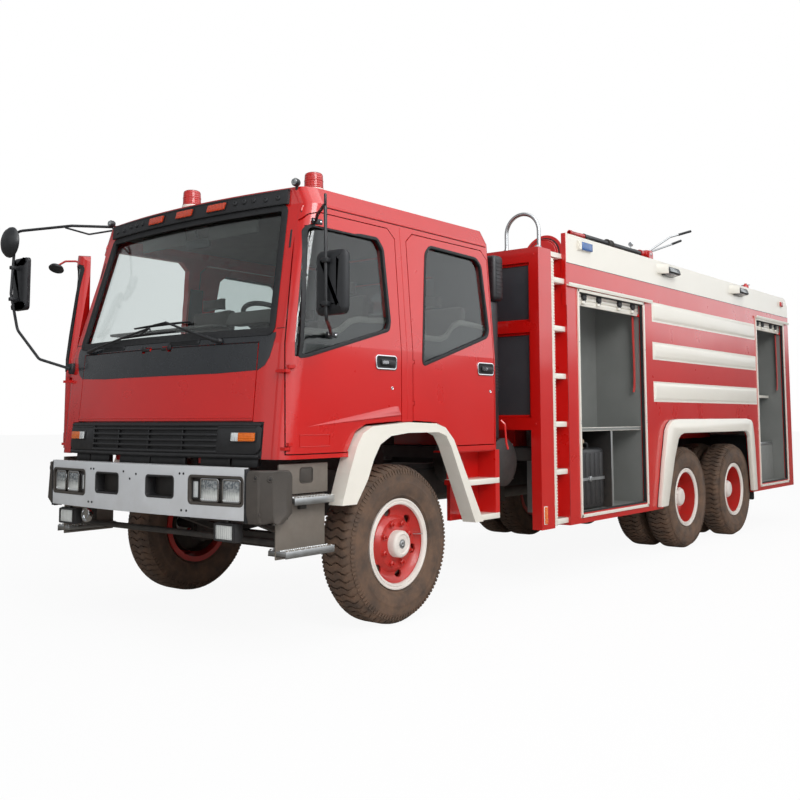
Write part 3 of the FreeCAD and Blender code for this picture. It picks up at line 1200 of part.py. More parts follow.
# ---------------------------------------------------------------- roof equipment
def buildRoofGear():
    """Manhole lid, standing open, and the water monitor in its travelling position."""
    plate = rod("LidPlate", "z", "manholeTop - 13", "manholeTop", ("0", "manholeY"), "manholeRadius")
    rim = rod("LidRim", "z", "manholeTop - 29", "manholeTop - 13", ("0", "manholeY"), "manholeRadius - 50")
    tab = block("LidTab", ("-56", "56"), ("manholeY + manholeRadius - 20", "manholeY + manholeRadius + 30"),
                ("manholeTop - 13", "manholeTop + 2"))
    lid = doc.addObject("Part::Compound", "ManholeLidOpen")
    eye = rod("LidEye", "x", "-56", "56", ("manholeY + manholeRadius + 30", "manholeTop - 5"), "15")
    bore = rod("LidBore", "x", "-60", "60", ("manholeY + manholeRadius + 30", "manholeTop - 5"), "8 + running")
    lid.Links = [cut("ManholeLid", fuse("ManholeLidSolid", [plate, rim, tab, eye]), [bore])]
    hinge = Vector(0, size("manholeY + manholeRadius + 30"), size("manholeTop - 5"))
    lid.Placement = FreeCAD.Placement(Vector(), FreeCAD.Rotation(Vector(1, 0, 0), -size("lidLean")), hinge)
    node("manhole_lid", lid)

    turretLow = "monitorZ - 259.6"
    turret = rod("TurretBody", "z", turretLow, "monitorZ - 110", ("0", "monitorY"), "86")
    fork = block("TurretFork", ("70", "100"), ("monitorY - 60", "monitorY + 60"), ("monitorZ - 170", "monitorZ + 50"))
    yoke = block("TurretYoke", ("-100", "100"), ("monitorY - 60", "monitorY + 60"), ("monitorZ - 170", "monitorZ - 110"))
    forkBore = rod("ForkBore", "x", "-110", "110", ("monitorY", "monitorZ"), "20 + running")
    turretSolid = fuse("TurretSolid", [turret, yoke, pair("TurretForks", fork)])
    node("monitor_turret", cut("MonitorTurret", turretSolid, [forkBore]))
    barrel = rod("BarrelTube", "y", "monitorTip + 330", "monitorY - 40", ("0", "monitorZ"), "38")
    nozzle = rod("BarrelNozzle", "y", "monitorTip", "monitorTip + 330", ("0", "monitorZ"), "30")
    breech = rod("BarrelBreech", "x", "-65", "65", ("monitorY", "monitorZ"), "62")
    trunnion = rod("BarrelTrunnion", "x", "-100", "100", ("monitorY", "monitorZ"), "20")
    bore = rod("BarrelBore", "y", "monitorTip - 5", "monitorTip + 120", ("0", "monitorZ"), "16")
    handles = [bentTube(f"Handle{index}", [(0, "monitorY + 30", "monitorZ + 20"), (x / 3, y - 260, z - 60), (x, y, z)],
                        "13", "60") for index, (x, y, z) in enumerate(((350, 7090, 3816), (150, 7230, 3733)))]
    solid = fuse("BarrelSolid", [barrel, nozzle, breech, trunnion] + handles)
    node("monitor_barrel", cut("MonitorBarrel", solid, [bore]))


# ---------------------------------------------------------------- build, check and write
buildWheels()
buildAxles()
buildChassis()
buildCab()
buildBody()
buildRoofGear()
doc.recompute()

faults = []
for thing in doc.Objects:
    if {"Invalid", "Error"} & set(thing.State):
        faults.append(f"{thing.Name}: {thing.State}")
for name, thing in NODES.items():
    if thing.Shape.isNull() or not thing.Shape.isValid() or not thing.Shape.Solids:
        faults.append(f"{name}: bad shape")
if faults:
    raise RuntimeError("; ".join(faults))

os.makedirs("parts", exist_ok=True)
for name, thing in NODES.items():
    thing.Shape.exportStep(f"parts/{name}.step")
    box = thing.Shape.BoundBox
    print(f"{name:24s} solids {len(thing.Shape.Solids):2d}  volume {thing.Shape.Volume / 1e9:.4f} m3  "
          f"x {box.XMin:.0f}..{box.XMax:.0f}  y {box.YMin:.0f}..{box.YMax:.0f}  z {box.ZMin:.0f}..{box.ZMax:.0f}")
print(len(NODES), "nodes")
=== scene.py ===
import bpy
import bmesh
from math import cos, sin, pi, sqrt, hypot, radians
from mathutils import Matrix, Vector


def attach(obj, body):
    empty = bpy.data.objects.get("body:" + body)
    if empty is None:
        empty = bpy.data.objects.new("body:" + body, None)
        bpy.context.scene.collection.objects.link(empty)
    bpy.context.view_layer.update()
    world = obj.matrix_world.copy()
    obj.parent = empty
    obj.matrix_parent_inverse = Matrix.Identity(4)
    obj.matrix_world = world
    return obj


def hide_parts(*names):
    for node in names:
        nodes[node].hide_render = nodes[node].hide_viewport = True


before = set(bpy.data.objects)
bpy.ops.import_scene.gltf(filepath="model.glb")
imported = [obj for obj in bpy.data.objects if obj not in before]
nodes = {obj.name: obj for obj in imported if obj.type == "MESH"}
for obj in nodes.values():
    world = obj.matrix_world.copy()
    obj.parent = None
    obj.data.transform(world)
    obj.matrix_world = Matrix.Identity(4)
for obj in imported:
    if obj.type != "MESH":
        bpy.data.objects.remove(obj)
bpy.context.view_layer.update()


# ---- camera, stage and lamps
cameraSet = {"place": (5.2031, -4.9084, 1.3444), "yaw": 0.6726, "pitch": 0.0862, "roll": -0.0045,
             "lens": 42.557, "shiftX": -0.01845, "shiftY": -0.07866}
ahead = Vector((-sin(cameraSet["yaw"]) * cos(cameraSet["pitch"]),
                cos(cameraSet["yaw"]) * cos(cameraSet["pitch"]), sin(cameraSet["pitch"])))
right = ahead.cross(Vector((0, 0, 1))).normalized()
above = right.cross(ahead)
tilt = cameraSet["roll"]
columns = (right * cos(tilt) + above * sin(tilt), above * cos(tilt) - right * sin(tilt), -ahead)
camera = bpy.data.objects.new("camera", bpy.data.cameras.new("camera"))
camera.data.lens = cameraSet["lens"]
camera.data.shift_x = cameraSet["shiftX"]
camera.data.shift_y = cameraSet["shiftY"]
camera.data.clip_end = 200
camera.matrix_world = Matrix.Translation(cameraSet["place"]) @ Matrix(columns).transposed().to_4x4()
bpy.context.scene.collection.objects.link(camera)
bpy.context.scene.camera = camera
bpy.context.scene.view_settings.view_transform = "Standard"


def linear(code):
    # an sRGB hex colour as the renderer's linear values
    parts = [int(code[i:i + 2], 16) / 255 for i in (1, 3, 5)]
    return tuple(c / 12.92 if c <= 0.04045 else ((c + 0.055) / 1.055) ** 2.4 for c in parts) + (1.0,)


def add(tree, kind, feeds=None, **settings):
    # one node with its settings; feeds gives each input a value or another node's output
    made = tree.nodes.new("ShaderNode" + kind)
    for key, value in settings.items():
        setattr(made, key, value)
    for socket, value in (feeds or {}).items():
        if isinstance(value, bpy.types.NodeSocket):
            tree.links.new(value, made.inputs[socket])
        else:
            made.inputs[socket].default_value = value
    return made


def blank(name):
    # a new material with an empty node tree
    made = bpy.data.materials.new(name)
    made.use_nodes = True
    made.node_tree.nodes.clear()
    return made, made.node_tree


def raySorts(tree):
    # glossy rays, and those that reach the camera straight or through glass
    rays = add(tree, "LightPath").outputs
    seen = add(tree, "Math", {0: rays["Is Camera Ray"], 1: rays["Is Transmission Ray"]}, operation="MAXIMUM")
    return rays["Is Glossy Ray"], seen.outputs[0]


lampSet = {
    "key": ((13.0, -5.0, 9.5), (0.0, 2.5, 1.2), 7.0, 1350),
    "front": ((-3.0, -15.0, 6.5), (0.0, 0.0, 1.6), 9.0, 160),
    "sky": ((3.0, 3.0, 16.0), (0.0, 3.2, 1.0), 14.0, 900),
}
for label, (place, aim, size, power) in lampSet.items():
    lamp = bpy.data.objects.new("lamp_" + label, bpy.data.lights.new("lamp_" + label, "AREA"))
    lamp.data.energy = power
    lamp.data.size = size
    lamp.location = place
    lamp.rotation_euler = (Vector(aim) - Vector(place)).to_track_quat("-Z", "Y").to_euler()
    bpy.context.scene.collection.objects.link(lamp)

mirrorSky = 1.7
world = bpy.data.worlds.new("studio")
bpy.context.scene.world = world
world.use_nodes = True
sky = world.node_tree
sky.nodes.clear()
glossy, seen = raySorts(sky)
plainLight = add(sky, "Background", {"Color": linear("#F4F7FA"), "Strength": 0.40})
whiteWall = add(sky, "Background", {"Color": (1, 1, 1, 1), "Strength": 1.0})
# what polished surfaces mirror: a bright sky beside the truck above a ragged dark skyline
heading = add(sky, "TexCoord").outputs["Generated"]
parts = add(sky, "SeparateXYZ", {"Vector": heading})
ragged = add(sky, "TexNoise", {"Vector": heading, "Scale": 14.0, "Detail": 4.0})
lift = add(sky, "MapRange", {"Value": ragged.outputs["Fac"], "From Min": 0.3, "From Max": 0.7,
                             "To Min": -0.022, "To Max": 0.022})
level = add(sky, "Math", {0: parts.outputs["Z"], 1: lift.outputs[0]}, operation="ADD")
openSky = add(sky, "MapRange", {"Value": level.outputs[0], "From Min": 0.055, "From Max": 0.085})
beside = add(sky, "MapRange", {"Value": parts.outputs["X"], "From Min": 0.05, "From Max": 0.30,
                               "To Min": 0.16})
bright = add(sky, "Math", {0: openSky.outputs[0], 1: beside.outputs[0]}, operation="MULTIPLY")
strength = add(sky, "MapRange", {"Value": bright.outputs[0], "To Min": 0.10, "To Max": mirrorSky})
mirrored = add(sky, "Background", {"Color": linear("#F6F9FC"), "Strength": strength.outputs[0]})
skyMirror = add(sky, "MixShader", {0: glossy, 1: plainLight.outputs[0], 2: mirrored.outputs[0]})
skyMix = add(sky, "MixShader", {0: seen, 1: skyMirror.outputs[0], 2: whiteWall.outputs[0]})
add(sky, "OutputWorld", {"Surface": skyMix.outputs[0]})

floorMesh = bmesh.new()
bmesh.ops.create_circle(floorMesh, cap_ends=True, segments=96, radius=90)
floorData = bpy.data.meshes.new("floor")
floorMesh.to_mesh(floorData)
floorMesh.free()
floor = bpy.data.objects.new("floor", floorData)
bpy.context.scene.collection.objects.link(floor)
floorPaint, tree = blank("studio_floor")
glossy, seen = raySorts(tree)
share = add(tree, "Math", {0: seen, 1: 0.93}, operation="MULTIPLY")
pale = add(tree, "BsdfDiffuse", {"Color": linear("#F2F2F2")})
white = add(tree, "Emission", {"Color": (1, 1, 1, 1), "Strength": 1.0})
floorMix = add(tree, "MixShader", {0: share.outputs[0], 1: pale.outputs[0], 2: white.outputs[0]})
ground = add(tree, "Emission", {"Color": linear("#6E6A64"), "Strength": 1.0})
floorMix = add(tree, "MixShader", {0: glossy, 1: floorMix.outputs[0], 2: ground.outputs[0]})
add(tree, "OutputMaterial", {"Surface": floorMix.outputs[0]})
floorData.materials.append(floorPaint)
print("camera and lamps set")


# ---- finishes
def finish(name, look):
    # a sprayed, moulded, cast or rolled finish: patches of tone, uneven gloss, grain, and road dust low down
    made, tree = blank(name)
    spot = add(tree, "TexCoord").outputs["Object"]
    patch = add(tree, "TexNoise", {"Vector": spot, "Scale": 1000 / look["patchMm"], "Detail": 4.0})
    tone = add(tree, "Mix", {0: patch.outputs["Fac"], 6: linear(look["tone"]), 7: linear(look["shade"])},
               data_type="RGBA")
    colour = tone.outputs[2]
    gloss = add(tree, "TexNoise", {"Vector": spot, "Scale": 1000 / (look["patchMm"] * 0.4), "Detail": 5.0})
    rough = add(tree, "MapRange", {"Value": gloss.outputs["Fac"], "From Min": 0.3, "From Max": 0.7,
                                   "To Min": look["rough"] - look["spread"],
                                   "To Max": look["rough"] + look["spread"]})
    roughness = rough.outputs[0]
    if "dust" in look:
        code, low, high, most = look["dust"]
        height = add(tree, "SeparateXYZ", {"Vector": spot})
        fall = add(tree, "MapRange", {"Value": height.outputs["Z"], "From Min": low, "From Max": high,
                                      "To Min": most, "To Max": look.get("dustTop", 0.0)})
        speck = add(tree, "TexNoise", {"Vector": spot, "Scale": 1000 / look.get("dustMm", 90), "Detail": 8.0,
                                       "Roughness": 0.65})
        clump = add(tree, "MapRange", {"Value": speck.outputs["Fac"], "From Min": 0.34, "From Max": 0.68,
                                       "To Min": 0.25, "To Max": 1.0})
        amount = add(tree, "Math", {0: fall.outputs[0], 1: clump.outputs[0]}, operation="MULTIPLY")
        dusty = add(tree, "Mix", {0: amount.outputs[0], 6: colour, 7: linear(code)}, data_type="RGBA")
        colour = dusty.outputs[2]
        dull = add(tree, "Mix", {0: amount.outputs[0], 2: roughness, 3: 0.85}, data_type="FLOAT")
        roughness = dull.outputs[0]
    grain = add(tree, "TexNoise", {"Vector": spot, "Scale": 1000 / look["grainMm"], "Detail": 3.0})
    relief = add(tree, "Bump", {"Height": grain.outputs["Fac"], "Strength": look["grain"],
                                "Distance": look["grainMm"] / 3000})
    normal = relief.outputs[0]
    if "waveMm" in look:                      # pressed sheet is never quite flat
        wave = add(tree, "TexNoise", {"Vector": spot, "Scale": 1000 / look["waveMm"], "Detail": 1.0})
        sheet = add(tree, "Bump", {"Height": wave.outputs["Fac"], "Strength": 0.3, "Distance": look["wave"],
                                   "Normal": normal})
        normal = sheet.outputs[0]
    shader = add(tree, "BsdfPrincipled", {"Base Color": colour, "Roughness": roughness, "Normal": normal,
                                          "Metallic": look.get("metal", 0.0)})
    for socket, value in look.get("shader", {}).items():
        shader.inputs[socket].default_value = value
    add(tree, "OutputMaterial", {"Surface": shader.outputs[0]})
    return made


def clearLens(name, tone, ribMm, axis, bowl=None):
    # moulded acrylic with flutes on its inside, which break the lamp's light into bright bars
    made, tree = blank(name)
    spot = add(tree, "TexCoord").outputs["Object"]
    flutes = add(tree, "TexWave", {"Vector": spot, "Scale": 1000 / ribMm / 6.283},
                 bands_direction=axis)
    relief = add(tree, "Bump", {"Height": flutes.outputs["Fac"], "Strength": 0.7, "Distance": 0.003})
    cloud = add(tree, "TexNoise", {"Vector": spot, "Scale": 60.0, "Detail": 3.0})
    share = cloud.outputs["Fac"]
    if bowl:                                  # painted reflection: the reflector behind the glass, painted into the lens colour by height, pale below and dark above
        height = add(tree, "SeparateXYZ", {"Vector": spot})
        rise = add(tree, "MapRange", {"Value": height.outputs["Z"], "From Min": bowl[0], "From Max": bowl[1]})
        share = add(tree, "Math", {0: rise.outputs[0], 1: cloud.outputs["Fac"]},
                    operation="MULTIPLY").outputs[0]
        share = add(tree, "Math", {0: share, 1: 1.7}, operation="MULTIPLY", use_clamp=True).outputs[0]
    hue = add(tree, "Mix", {0: share, 6: linear(tone[0]), 7: linear(tone[1])}, data_type="RGBA")
    shader = add(tree, "BsdfPrincipled", {"Base Color": hue.outputs[2], "Roughness": 0.12,
                                          "Normal": relief.outputs[0], "Coat Weight": 0.6,
                                          "Coat Roughness": 0.05, "IOR": 1.49})
    add(tree, "OutputMaterial", {"Surface": shader.outputs[0]})
    return made


# sprayed and polished: deep colour under a wet-looking coat
redEnamel = finish("red_two_pack_enamel", {"tone": "#CF130E", "shade": "#C20E0B", "patchMm": 700,
                                           "rough": 0.30, "spread": 0.04, "grainMm": 3.0, "grain": 0.02,
                                           "waveMm": 600, "wave": 0.005, "dust": ("#8E6A5C", 0.5, 1.4, 0.05),
                                           "dustMm": 400, "shader": {"Coat Weight": 0.7,
                                           "Coat Roughness": 0.06, "IOR": 1.5}})
creamEnamel = finish("cream_white_enamel", {   # the same spray in off-white, for stripes and trims
    "tone": "#F1EDE2", "shade": "#E9E4D8", "patchMm": 500, "rough": 0.34, "spread": 0.05,
    "grainMm": 3.0, "grain": 0.03, "dust": ("#B9AB9C", 0.45, 1.2, 0.22),
    "shader": {"Coat Weight": 0.4, "Coat Roughness": 0.10, "IOR": 1.5}})
bumperEnamel = finish("grey_white_bumper_enamel", {   # thicker, duller coat on heavy steel, with road film
    "tone": "#D3D5D7", "shade": "#C6C8CA", "patchMm": 260, "rough": 0.36, "spread": 0.07,
    "grainMm": 4.0, "grain": 0.05, "dust": ("#A39C92", 0.7, 1.1, 0.26),
    "shader": {"Coat Weight": 0.3, "Coat Roughness": 0.12, "IOR": 1.5}})
wheelRed = finish("red_wheel_enamel", {        # brushed on over a steel disc, dusty in the dish
    "tone": "#C9201B", "shade": "#B3140F", "patchMm": 90, "rough": 0.38, "spread": 0.08,
    "grainMm": 5.0, "grain": 0.08, "dust": ("#8C5A4B", 0.1, 1.1, 0.30), "dustTop": 0.12,
    "shader": {"Coat Weight": 0.3, "Coat Roughness": 0.15, "IOR": 1.5}})
wheelWhite = finish("white_rim_enamel", {      # hand-painted rim edge
    "tone": "#EFE9E2", "shade": "#E2D9D0", "patchMm": 70, "rough": 0.42, "spread": 0.08,
    "grainMm": 4.0, "grain": 0.08, "dust": ("#A08A78", 0.1, 1.0, 0.25), "dustTop": 0.08,
    "shader": {"Coat Weight": 0.2, "Coat Roughness": 0.2, "IOR": 1.5}})
capPlastic = finish("grey_moulded_polypropylene", {   # bumper corners: fine spark grain, faded
    "tone": "#47423D", "shade": "#3B3733", "patchMm": 160, "rough": 0.56, "spread": 0.06,
    "grainMm": 2.5, "grain": 0.25, "dust": ("#83766A", 0.5, 1.1, 0.30), "shader": {"IOR": 1.49}})
blackPlastic = finish("black_moulded_abs", {   # trims, mirror backs and grille: satin with soft highlights
    "tone": "#1D1E20", "shade": "#26272A", "patchMm": 120, "rough": 0.42, "spread": 0.08,
    "grainMm": 2.5, "grain": 0.18, "dust": ("#6A625A", 0.4, 1.4, 0.22), "shader": {"IOR": 1.52}})
blackGloss = finish("black_gloss_enamel", {    # the band below the windscreen, sprayed over steel
    "tone": "#25282C", "shade": "#1D2024", "patchMm": 300, "rough": 0.28, "spread": 0.05,
    "grainMm": 3.0, "grain": 0.03, "shader": {"Coat Weight": 0.5, "Coat Roughness": 0.08, "IOR": 1.5}})
tyreRubber = finish("road_worn_tyre_rubber", {        # carbon-black rubber bleached brown by dust
    "tone": "#3B342F", "shade": "#2C2826", "patchMm": 60, "rough": 0.78, "spread": 0.08,
    "grainMm": 4.0, "grain": 0.35, "dust": ("#86664E", -0.2, 1.5, 0.72), "dustTop": 0.45, "dustMm": 120,
    "shader": {"IOR": 1.52}})
frameEnamel = finish("black_chassis_enamel", {        # brushed-on satin black, well dusted
    "tone": "#1E1E1F", "shade": "#2A2928", "patchMm": 140, "rough": 0.55, "spread": 0.10,
    "grainMm": 5.0, "grain": 0.20, "dust": ("#6B5F54", 0.2, 1.3, 0.50), "shader": {"IOR": 1.5}})
castIron = finish("dusty_cast_iron", {         # sand-cast skin: coarse grain, brown-grey road dirt
    "tone": "#3A3530", "shade": "#2B2825", "patchMm": 90, "rough": 0.68, "spread": 0.10,
    "grainMm": 6.0, "grain": 0.55, "dust": ("#71604F", 0.1, 1.2, 0.55), "shader": {"IOR": 1.6}})
lockerPaint = finish("grey_locker_enamel", {   # satin grey inside the lockers, lightly scuffed
    "tone": "#858784", "shade": "#757774", "patchMm": 320, "rough": 0.48, "spread": 0.08,
    "grainMm": 3.5, "grain": 0.08, "dust": ("#7F7A73", 0.4, 1.2, 0.25), "shader": {"IOR": 1.5}})
darkPanel = finish("dark_grey_body_enamel", {  # recessed panels behind the cab
    "tone": "#33353A", "shade": "#2A2C30", "patchMm": 300, "rough": 0.44, "spread": 0.06,
    "grainMm": 3.5, "grain": 0.08, "dust": ("#6A625A", 0.6, 2.2, 0.18), "shader": {"IOR": 1.5}})
aluminium = finish("mill_finish_aluminium", {  # rolled and extruded alloy: soft grey sheen
    "tone": "#C9CBCC", "shade": "#B8BABB", "patchMm": 120, "rough": 0.36, "spread": 0.08,
    "grainMm": 2.5, "grain": 0.10, "metal": 1.0, "dust": ("#8B8379", 0.4, 1.6, 0.20)})
chrome = finish("chrome_plate", {              # plated handles and hoop: near-mirror with faint haze
    "tone": "#E6E7E9", "shade": "#D9DADC", "patchMm": 80, "rough": 0.10, "spread": 0.04,
    "grainMm": 3.0, "grain": 0.02, "metal": 1.0})
mirrorGlass = finish("silvered_mirror", {      # flat silvered glass
    "tone": "#C7CDD2", "shade": "#C0C6CC", "patchMm": 200, "rough": 0.05, "spread": 0.02,
    "grainMm": 3.0, "grain": 0.01, "metal": 1.0})
sealRubber = finish("black_epdm_rubber", {     # extruded seals: matt, slightly chalky
    "tone": "#17181A", "shade": "#202123", "patchMm": 60, "rough": 0.66, "spread": 0.08,
    "grainMm": 2.5, "grain": 0.15, "shader": {"IOR": 1.52}})
seatCloth = finish("woven_seat_cloth", {       # woven grey-brown cloth, drawn at 4 mm so that it shows
    "tone": "#5B5652", "shade": "#46423F", "patchMm": 8, "rough": 0.86, "spread": 0.06,
    "grainMm": 4.0, "grain": 0.5, "shader": {"Sheen Weight": 0.3, "Sheen Roughness": 0.5}})
cabLining = finish("grey_moulded_lining", {    # door cards, dashboard and roof lining: soft matt vinyl
    "tone": "#6B6864", "shade": "#5C5956", "patchMm": 200, "rough": 0.62, "spread": 0.06,
    "grainMm": 3.0, "grain": 0.25, "shader": {"IOR": 1.5}})
stepPlate = finish("galvanised_step_plate", {  # zinc-coated tread, dusty
    "tone": "#A8A299", "shade": "#968F86", "patchMm": 40, "rough": 0.50, "spread": 0.10,
    "grainMm": 4.0, "grain": 0.20, "metal": 0.6, "dust": ("#8D7F70", 0.4, 1.2, 0.45)})
# this glass carries a painted reflection of a reflector: pale below 0.895 m, dark grey above 0.945 m,
# wherever it is used
headLens = clearLens("fluted_headlamp_glass", ("#D4D6D2", "#5E6468"), 9, "X", (0.895, 0.945))
clearTurn = clearLens("clear_turn_lens", ("#E4E6E4", "#C4C8C8"), 7, "X")
amberLens = clearLens("amber_acrylic_lens", ("#F0791A", "#D9600E"), 7, "Z")
redLens = clearLens("red_acrylic_lens", ("#D8231A", "#A8120E"), 8, "Z")
orangeLens = clearLens("orange_marker_lens", ("#DB4A22", "#B9361A"), 7, "X")
blueLens = clearLens("blue_strobe_lens", ("#3F74B8", "#2A5596"), 7, "Y")

windowGlass, tree = blank("grey_tinted_window_glass")   # float glass: clear, faint grey-green
spot = add(tree, "TexCoord").outputs["Object"]
film = add(tree, "TexNoise", {"Vector": spot, "Scale": 2.4, "Detail": 6.0, "Roughness": 0.6})
haze = add(tree, "MapRange", {"Value": film.outputs["Fac"], "From Min": 0.35, "From Max": 0.75,
                              "To Min": 0.0, "To Max": 0.05})
pane = add(tree, "BsdfPrincipled", {"Base Color": linear("#D3DBDA"), "Roughness": haze.outputs[0],
                                    "Transmission Weight": 1.0, "IOR": 1.45})
add(tree, "OutputMaterial", {"Surface": pane.outputs[0]})
print("finishes made")


# ---- making parts
def pour(part, whole):
    # adds a copy of one part's faces to another
    carrier = bpy.data.meshes.new("carrier")
    part.to_mesh(carrier)
    whole.from_mesh(carrier)
    bpy.data.meshes.remove(carrier)


def around(count, phase=0.0):
    # cosine and sine of places spread evenly round a circle
    angles = [2 * pi * (index + phase) / count for index in range(count)]
    return [(cos(angle), sin(angle)) for angle in angles]


def everything(part):
    return part.verts[:] + part.edges[:] + part.faces[:]


def split(part, place, normal):
    # cuts a part across without parting it
    bmesh.ops.bisect_plane(part, geom=everything(part), dist=1e-6, plane_co=place, plane_no=normal)


class Piece:
    # parts gathered into one mesh, each with its own finish, that moves with one body
    def __init__(self, name, body, slot, *hides, flip=False):
        self.name, self.body, self.slot, self.hides, self.flip = name, body, slot, hides, flip
        self.whole = bmesh.new()
        self.looks = []
        self.swing = None

    def take(self, part, look, both=False, smooth=True):
        bmesh.ops.remove_doubles(part, verts=part.verts, dist=2e-5)
        bmesh.ops.recalc_face_normals(part, faces=part.faces)
        if look not in self.looks:
            self.looks.append(look)
        for face in part.faces:
            face.material_index = self.looks.index(look)
            face.smooth = smooth
        for number in range(2 if both else 1):
            if self.flip or number == 1:                       # the other side's twin
                bmesh.ops.scale(part, vec=(-1, 1, 1), verts=part.verts)
                bmesh.ops.reverse_faces(part, faces=part.faces)
            pour(part, self.whole)
        part.free()

    def build(self, sharp=34):
        if self.swing:
            bmesh.ops.rotate(self.whole, cent=self.swing["hinge"], verts=self.whole.verts,
                             matrix=Matrix.Rotation(radians(self.swing["angle"]), 3, "Z"))
        data = bpy.data.meshes.new(self.name)
        self.whole.to_mesh(data)
        self.whole.free()
        for look in self.looks:
            data.materials.append(look)
        data.set_sharp_from_angle(angle=radians(sharp))
        made = bpy.data.objects.new(self.name, data)
        bpy.context.scene.collection.objects.link(made)
        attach(made, self.body)
        if self.hides:
            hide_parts(*self.hides)
        return made


def soften(part, width, steps=2):
    # rounds every edge of a solid part
    edges = [edge for edge in part.edges if len(edge.link_faces) == 2 and edge.calc_face_angle(0.0) > 0.35]
    bmesh.ops.bevel(part, geom=edges, offset=width, segments=steps, profile=0.5, affect="EDGES", material=-1,
                    clamp_overlap=True)
    return part


def slab(low, high, edge=0.003, steps=2):
    part = bmesh.new()
    bmesh.ops.create_cube(part, size=1.0)
    bmesh.ops.scale(part, vec=[abs(h - l) for l, h in zip(low, high)], verts=part.verts)
    bmesh.ops.translate(part, vec=[(h + l) / 2 for l, h in zip(low, high)], verts=part.verts)
    return soften(part, edge, steps) if edge else part


def turn(outline, centre, axis=(1, 0, 0), steps=48, closed=False):
    # a lathe form: the outline gives (distance along the axis, radius)
    part = bmesh.new()
    along = Vector(axis).normalized()
    side = along.orthogonal().normalized()
    spots = [part.verts.new(Vector(centre) + along * reach + side * radius) for reach, radius in outline]
    pairs = list(zip(spots, spots[1:])) + ([(spots[-1], spots[0])] if closed else [])
    edges = [part.edges.new(pair) for pair in pairs]
    bmesh.ops.spin(part, geom=spots + edges, cent=centre, axis=along, angle=2 * pi, steps=steps,
                   use_merge=True)
    return part


def bar(start, end, radius, steps=20, edge=0.002):
    # a round bar or disc with softened ends
    long = (Vector(end) - Vector(start)).length
    edge = min(edge, radius * 0.6, long * 0.4)
    outline = [(0, 0), (0, radius - edge), (edge * 0.3, radius - edge * 0.3), (edge, radius),
               (long - edge, radius), (long - edge * 0.3, radius - edge * 0.3), (long, radius - edge),
               (long, 0)]
    return turn(outline, start, Vector(end) - Vector(start), steps)


def onPlane(axis, u, v, w):
    return {"x": (w, u, v), "y": (u, w, v), "z": (u, v, w)}[axis]


def board(outline, low, high, axis="x", edge=0.003, corner=0.0, steps=4):
    # a flat outline with rounded corners, as thick as low to high along one axis
    part = bmesh.new()
    spots = [part.verts.new(onPlane(axis, u, v, low)) for u, v in outline]
    part.faces.new(spots)
    if corner:
        bmesh.ops.bevel(part, geom=part.verts[:], offset=corner, segments=steps, profile=0.5,
                        affect="VERTICES", material=-1, clamp_overlap=True)
    grown = bmesh.ops.extrude_face_region(part, geom=part.faces[:])
    moved = [item for item in grown["geom"] if isinstance(item, bmesh.types.BMVert)]
    bmesh.ops.translate(part, vec=onPlane(axis, 0, 0, high - low), verts=moved)
    return soften(part, edge) if edge else part


def elbows(points, bend, steps, closed=False):
    # the line of a rigid pipe or rail, with an arc at each corner
    spots = [Vector(point) for point in points]
    line = [] if closed else [spots[0]]
    count = len(spots)
    for index in range(count) if closed else range(1, count - 1):
        before, corner, after = spots[index - 1], spots[index], spots[(index + 1) % count]
        inward, outward = (before - corner), (after - corner)
        half = inward.angle(outward) / 2
        if half > 1.55:
            line.append(corner)
            continue
        reach = min(bend / max(sin(half) / max(cos(half), 1e-4), 1e-4), inward.length * 0.48,
                    outward.length * 0.48)
        first, last = corner + inward.normalized() * reach, corner + outward.normalized() * reach
        for step in range(steps + 1):
            share = step / steps
            line.append(first.lerp(corner, share).lerp(corner.lerp(last, share), share))
    return line if closed else line + [spots[-1]]


def pipe(points, radius, bend=0.0, closed=False, steps=5, sides=3):
    # a rigid tube, rail or seal bead along a line
    stops = elbows(points, bend, steps, closed) if bend else [Vector(point) for point in points]
    curve = bpy.data.curves.new("pipe", "CURVE")
    curve.dimensions = "3D"
    curve.bevel_depth = radius
    curve.bevel_resolution = sides
    curve.use_fill_caps = True
    line = curve.splines.new("POLY")
    line.points.add(len(stops) - 1)
    for point, stop in zip(line.points, stops):
        point.co = (*stop, 1.0)
    line.use_cyclic_u = closed
    holder = bpy.data.objects.new("pipe", curve)
    mesh = bpy.data.meshes.new_from_object(holder)
    part = bmesh.new()
    part.from_mesh(mesh)
    bpy.data.objects.remove(holder)
    bpy.data.curves.remove(curve)
    bpy.data.meshes.remove(mesh)
    return part


def turned(part, angle, axis, centre):
    bmesh.ops.rotate(part, cent=centre, matrix=Matrix.Rotation(radians(angle), 3, Vector(axis)),
                     verts=part.verts)
    return part


def moved(part, shift):
    bmesh.ops.translate(part, vec=shift, verts=part.verts)
    return part


def carve(part, tools):
    # cuts the tools out of a part
    base = bpy.data.objects.new("base", bpy.data.meshes.new("base"))
    bmesh.ops.recalc_face_normals(part, faces=part.faces)
    part.to_mesh(base.data)
    bpy.context.scene.collection.objects.link(base)
    cutters = []
    for index, tool in enumerate(tools):
        cutter = bpy.data.objects.new("cutter", bpy.data.meshes.new("cutter"))
        bmesh.ops.recalc_face_normals(tool, faces=tool.faces)
        tool.to_mesh(cutter.data)
        tool.free()
        bpy.context.scene.collection.objects.link(cutter)
        step = base.modifiers.new("cut" + str(index), "BOOLEAN")
        step.operation = "DIFFERENCE"
        step.object = cutter
        cutters.append(cutter)
    cleaned = bpy.data.meshes.new_from_object(base.evaluated_get(bpy.context.evaluated_depsgraph_get()))
    part.clear()
    part.from_mesh(cleaned)
    for thing in cutters + [base]:
        bpy.data.objects.remove(thing)
    bpy.data.meshes.remove(cleaned)
    return part


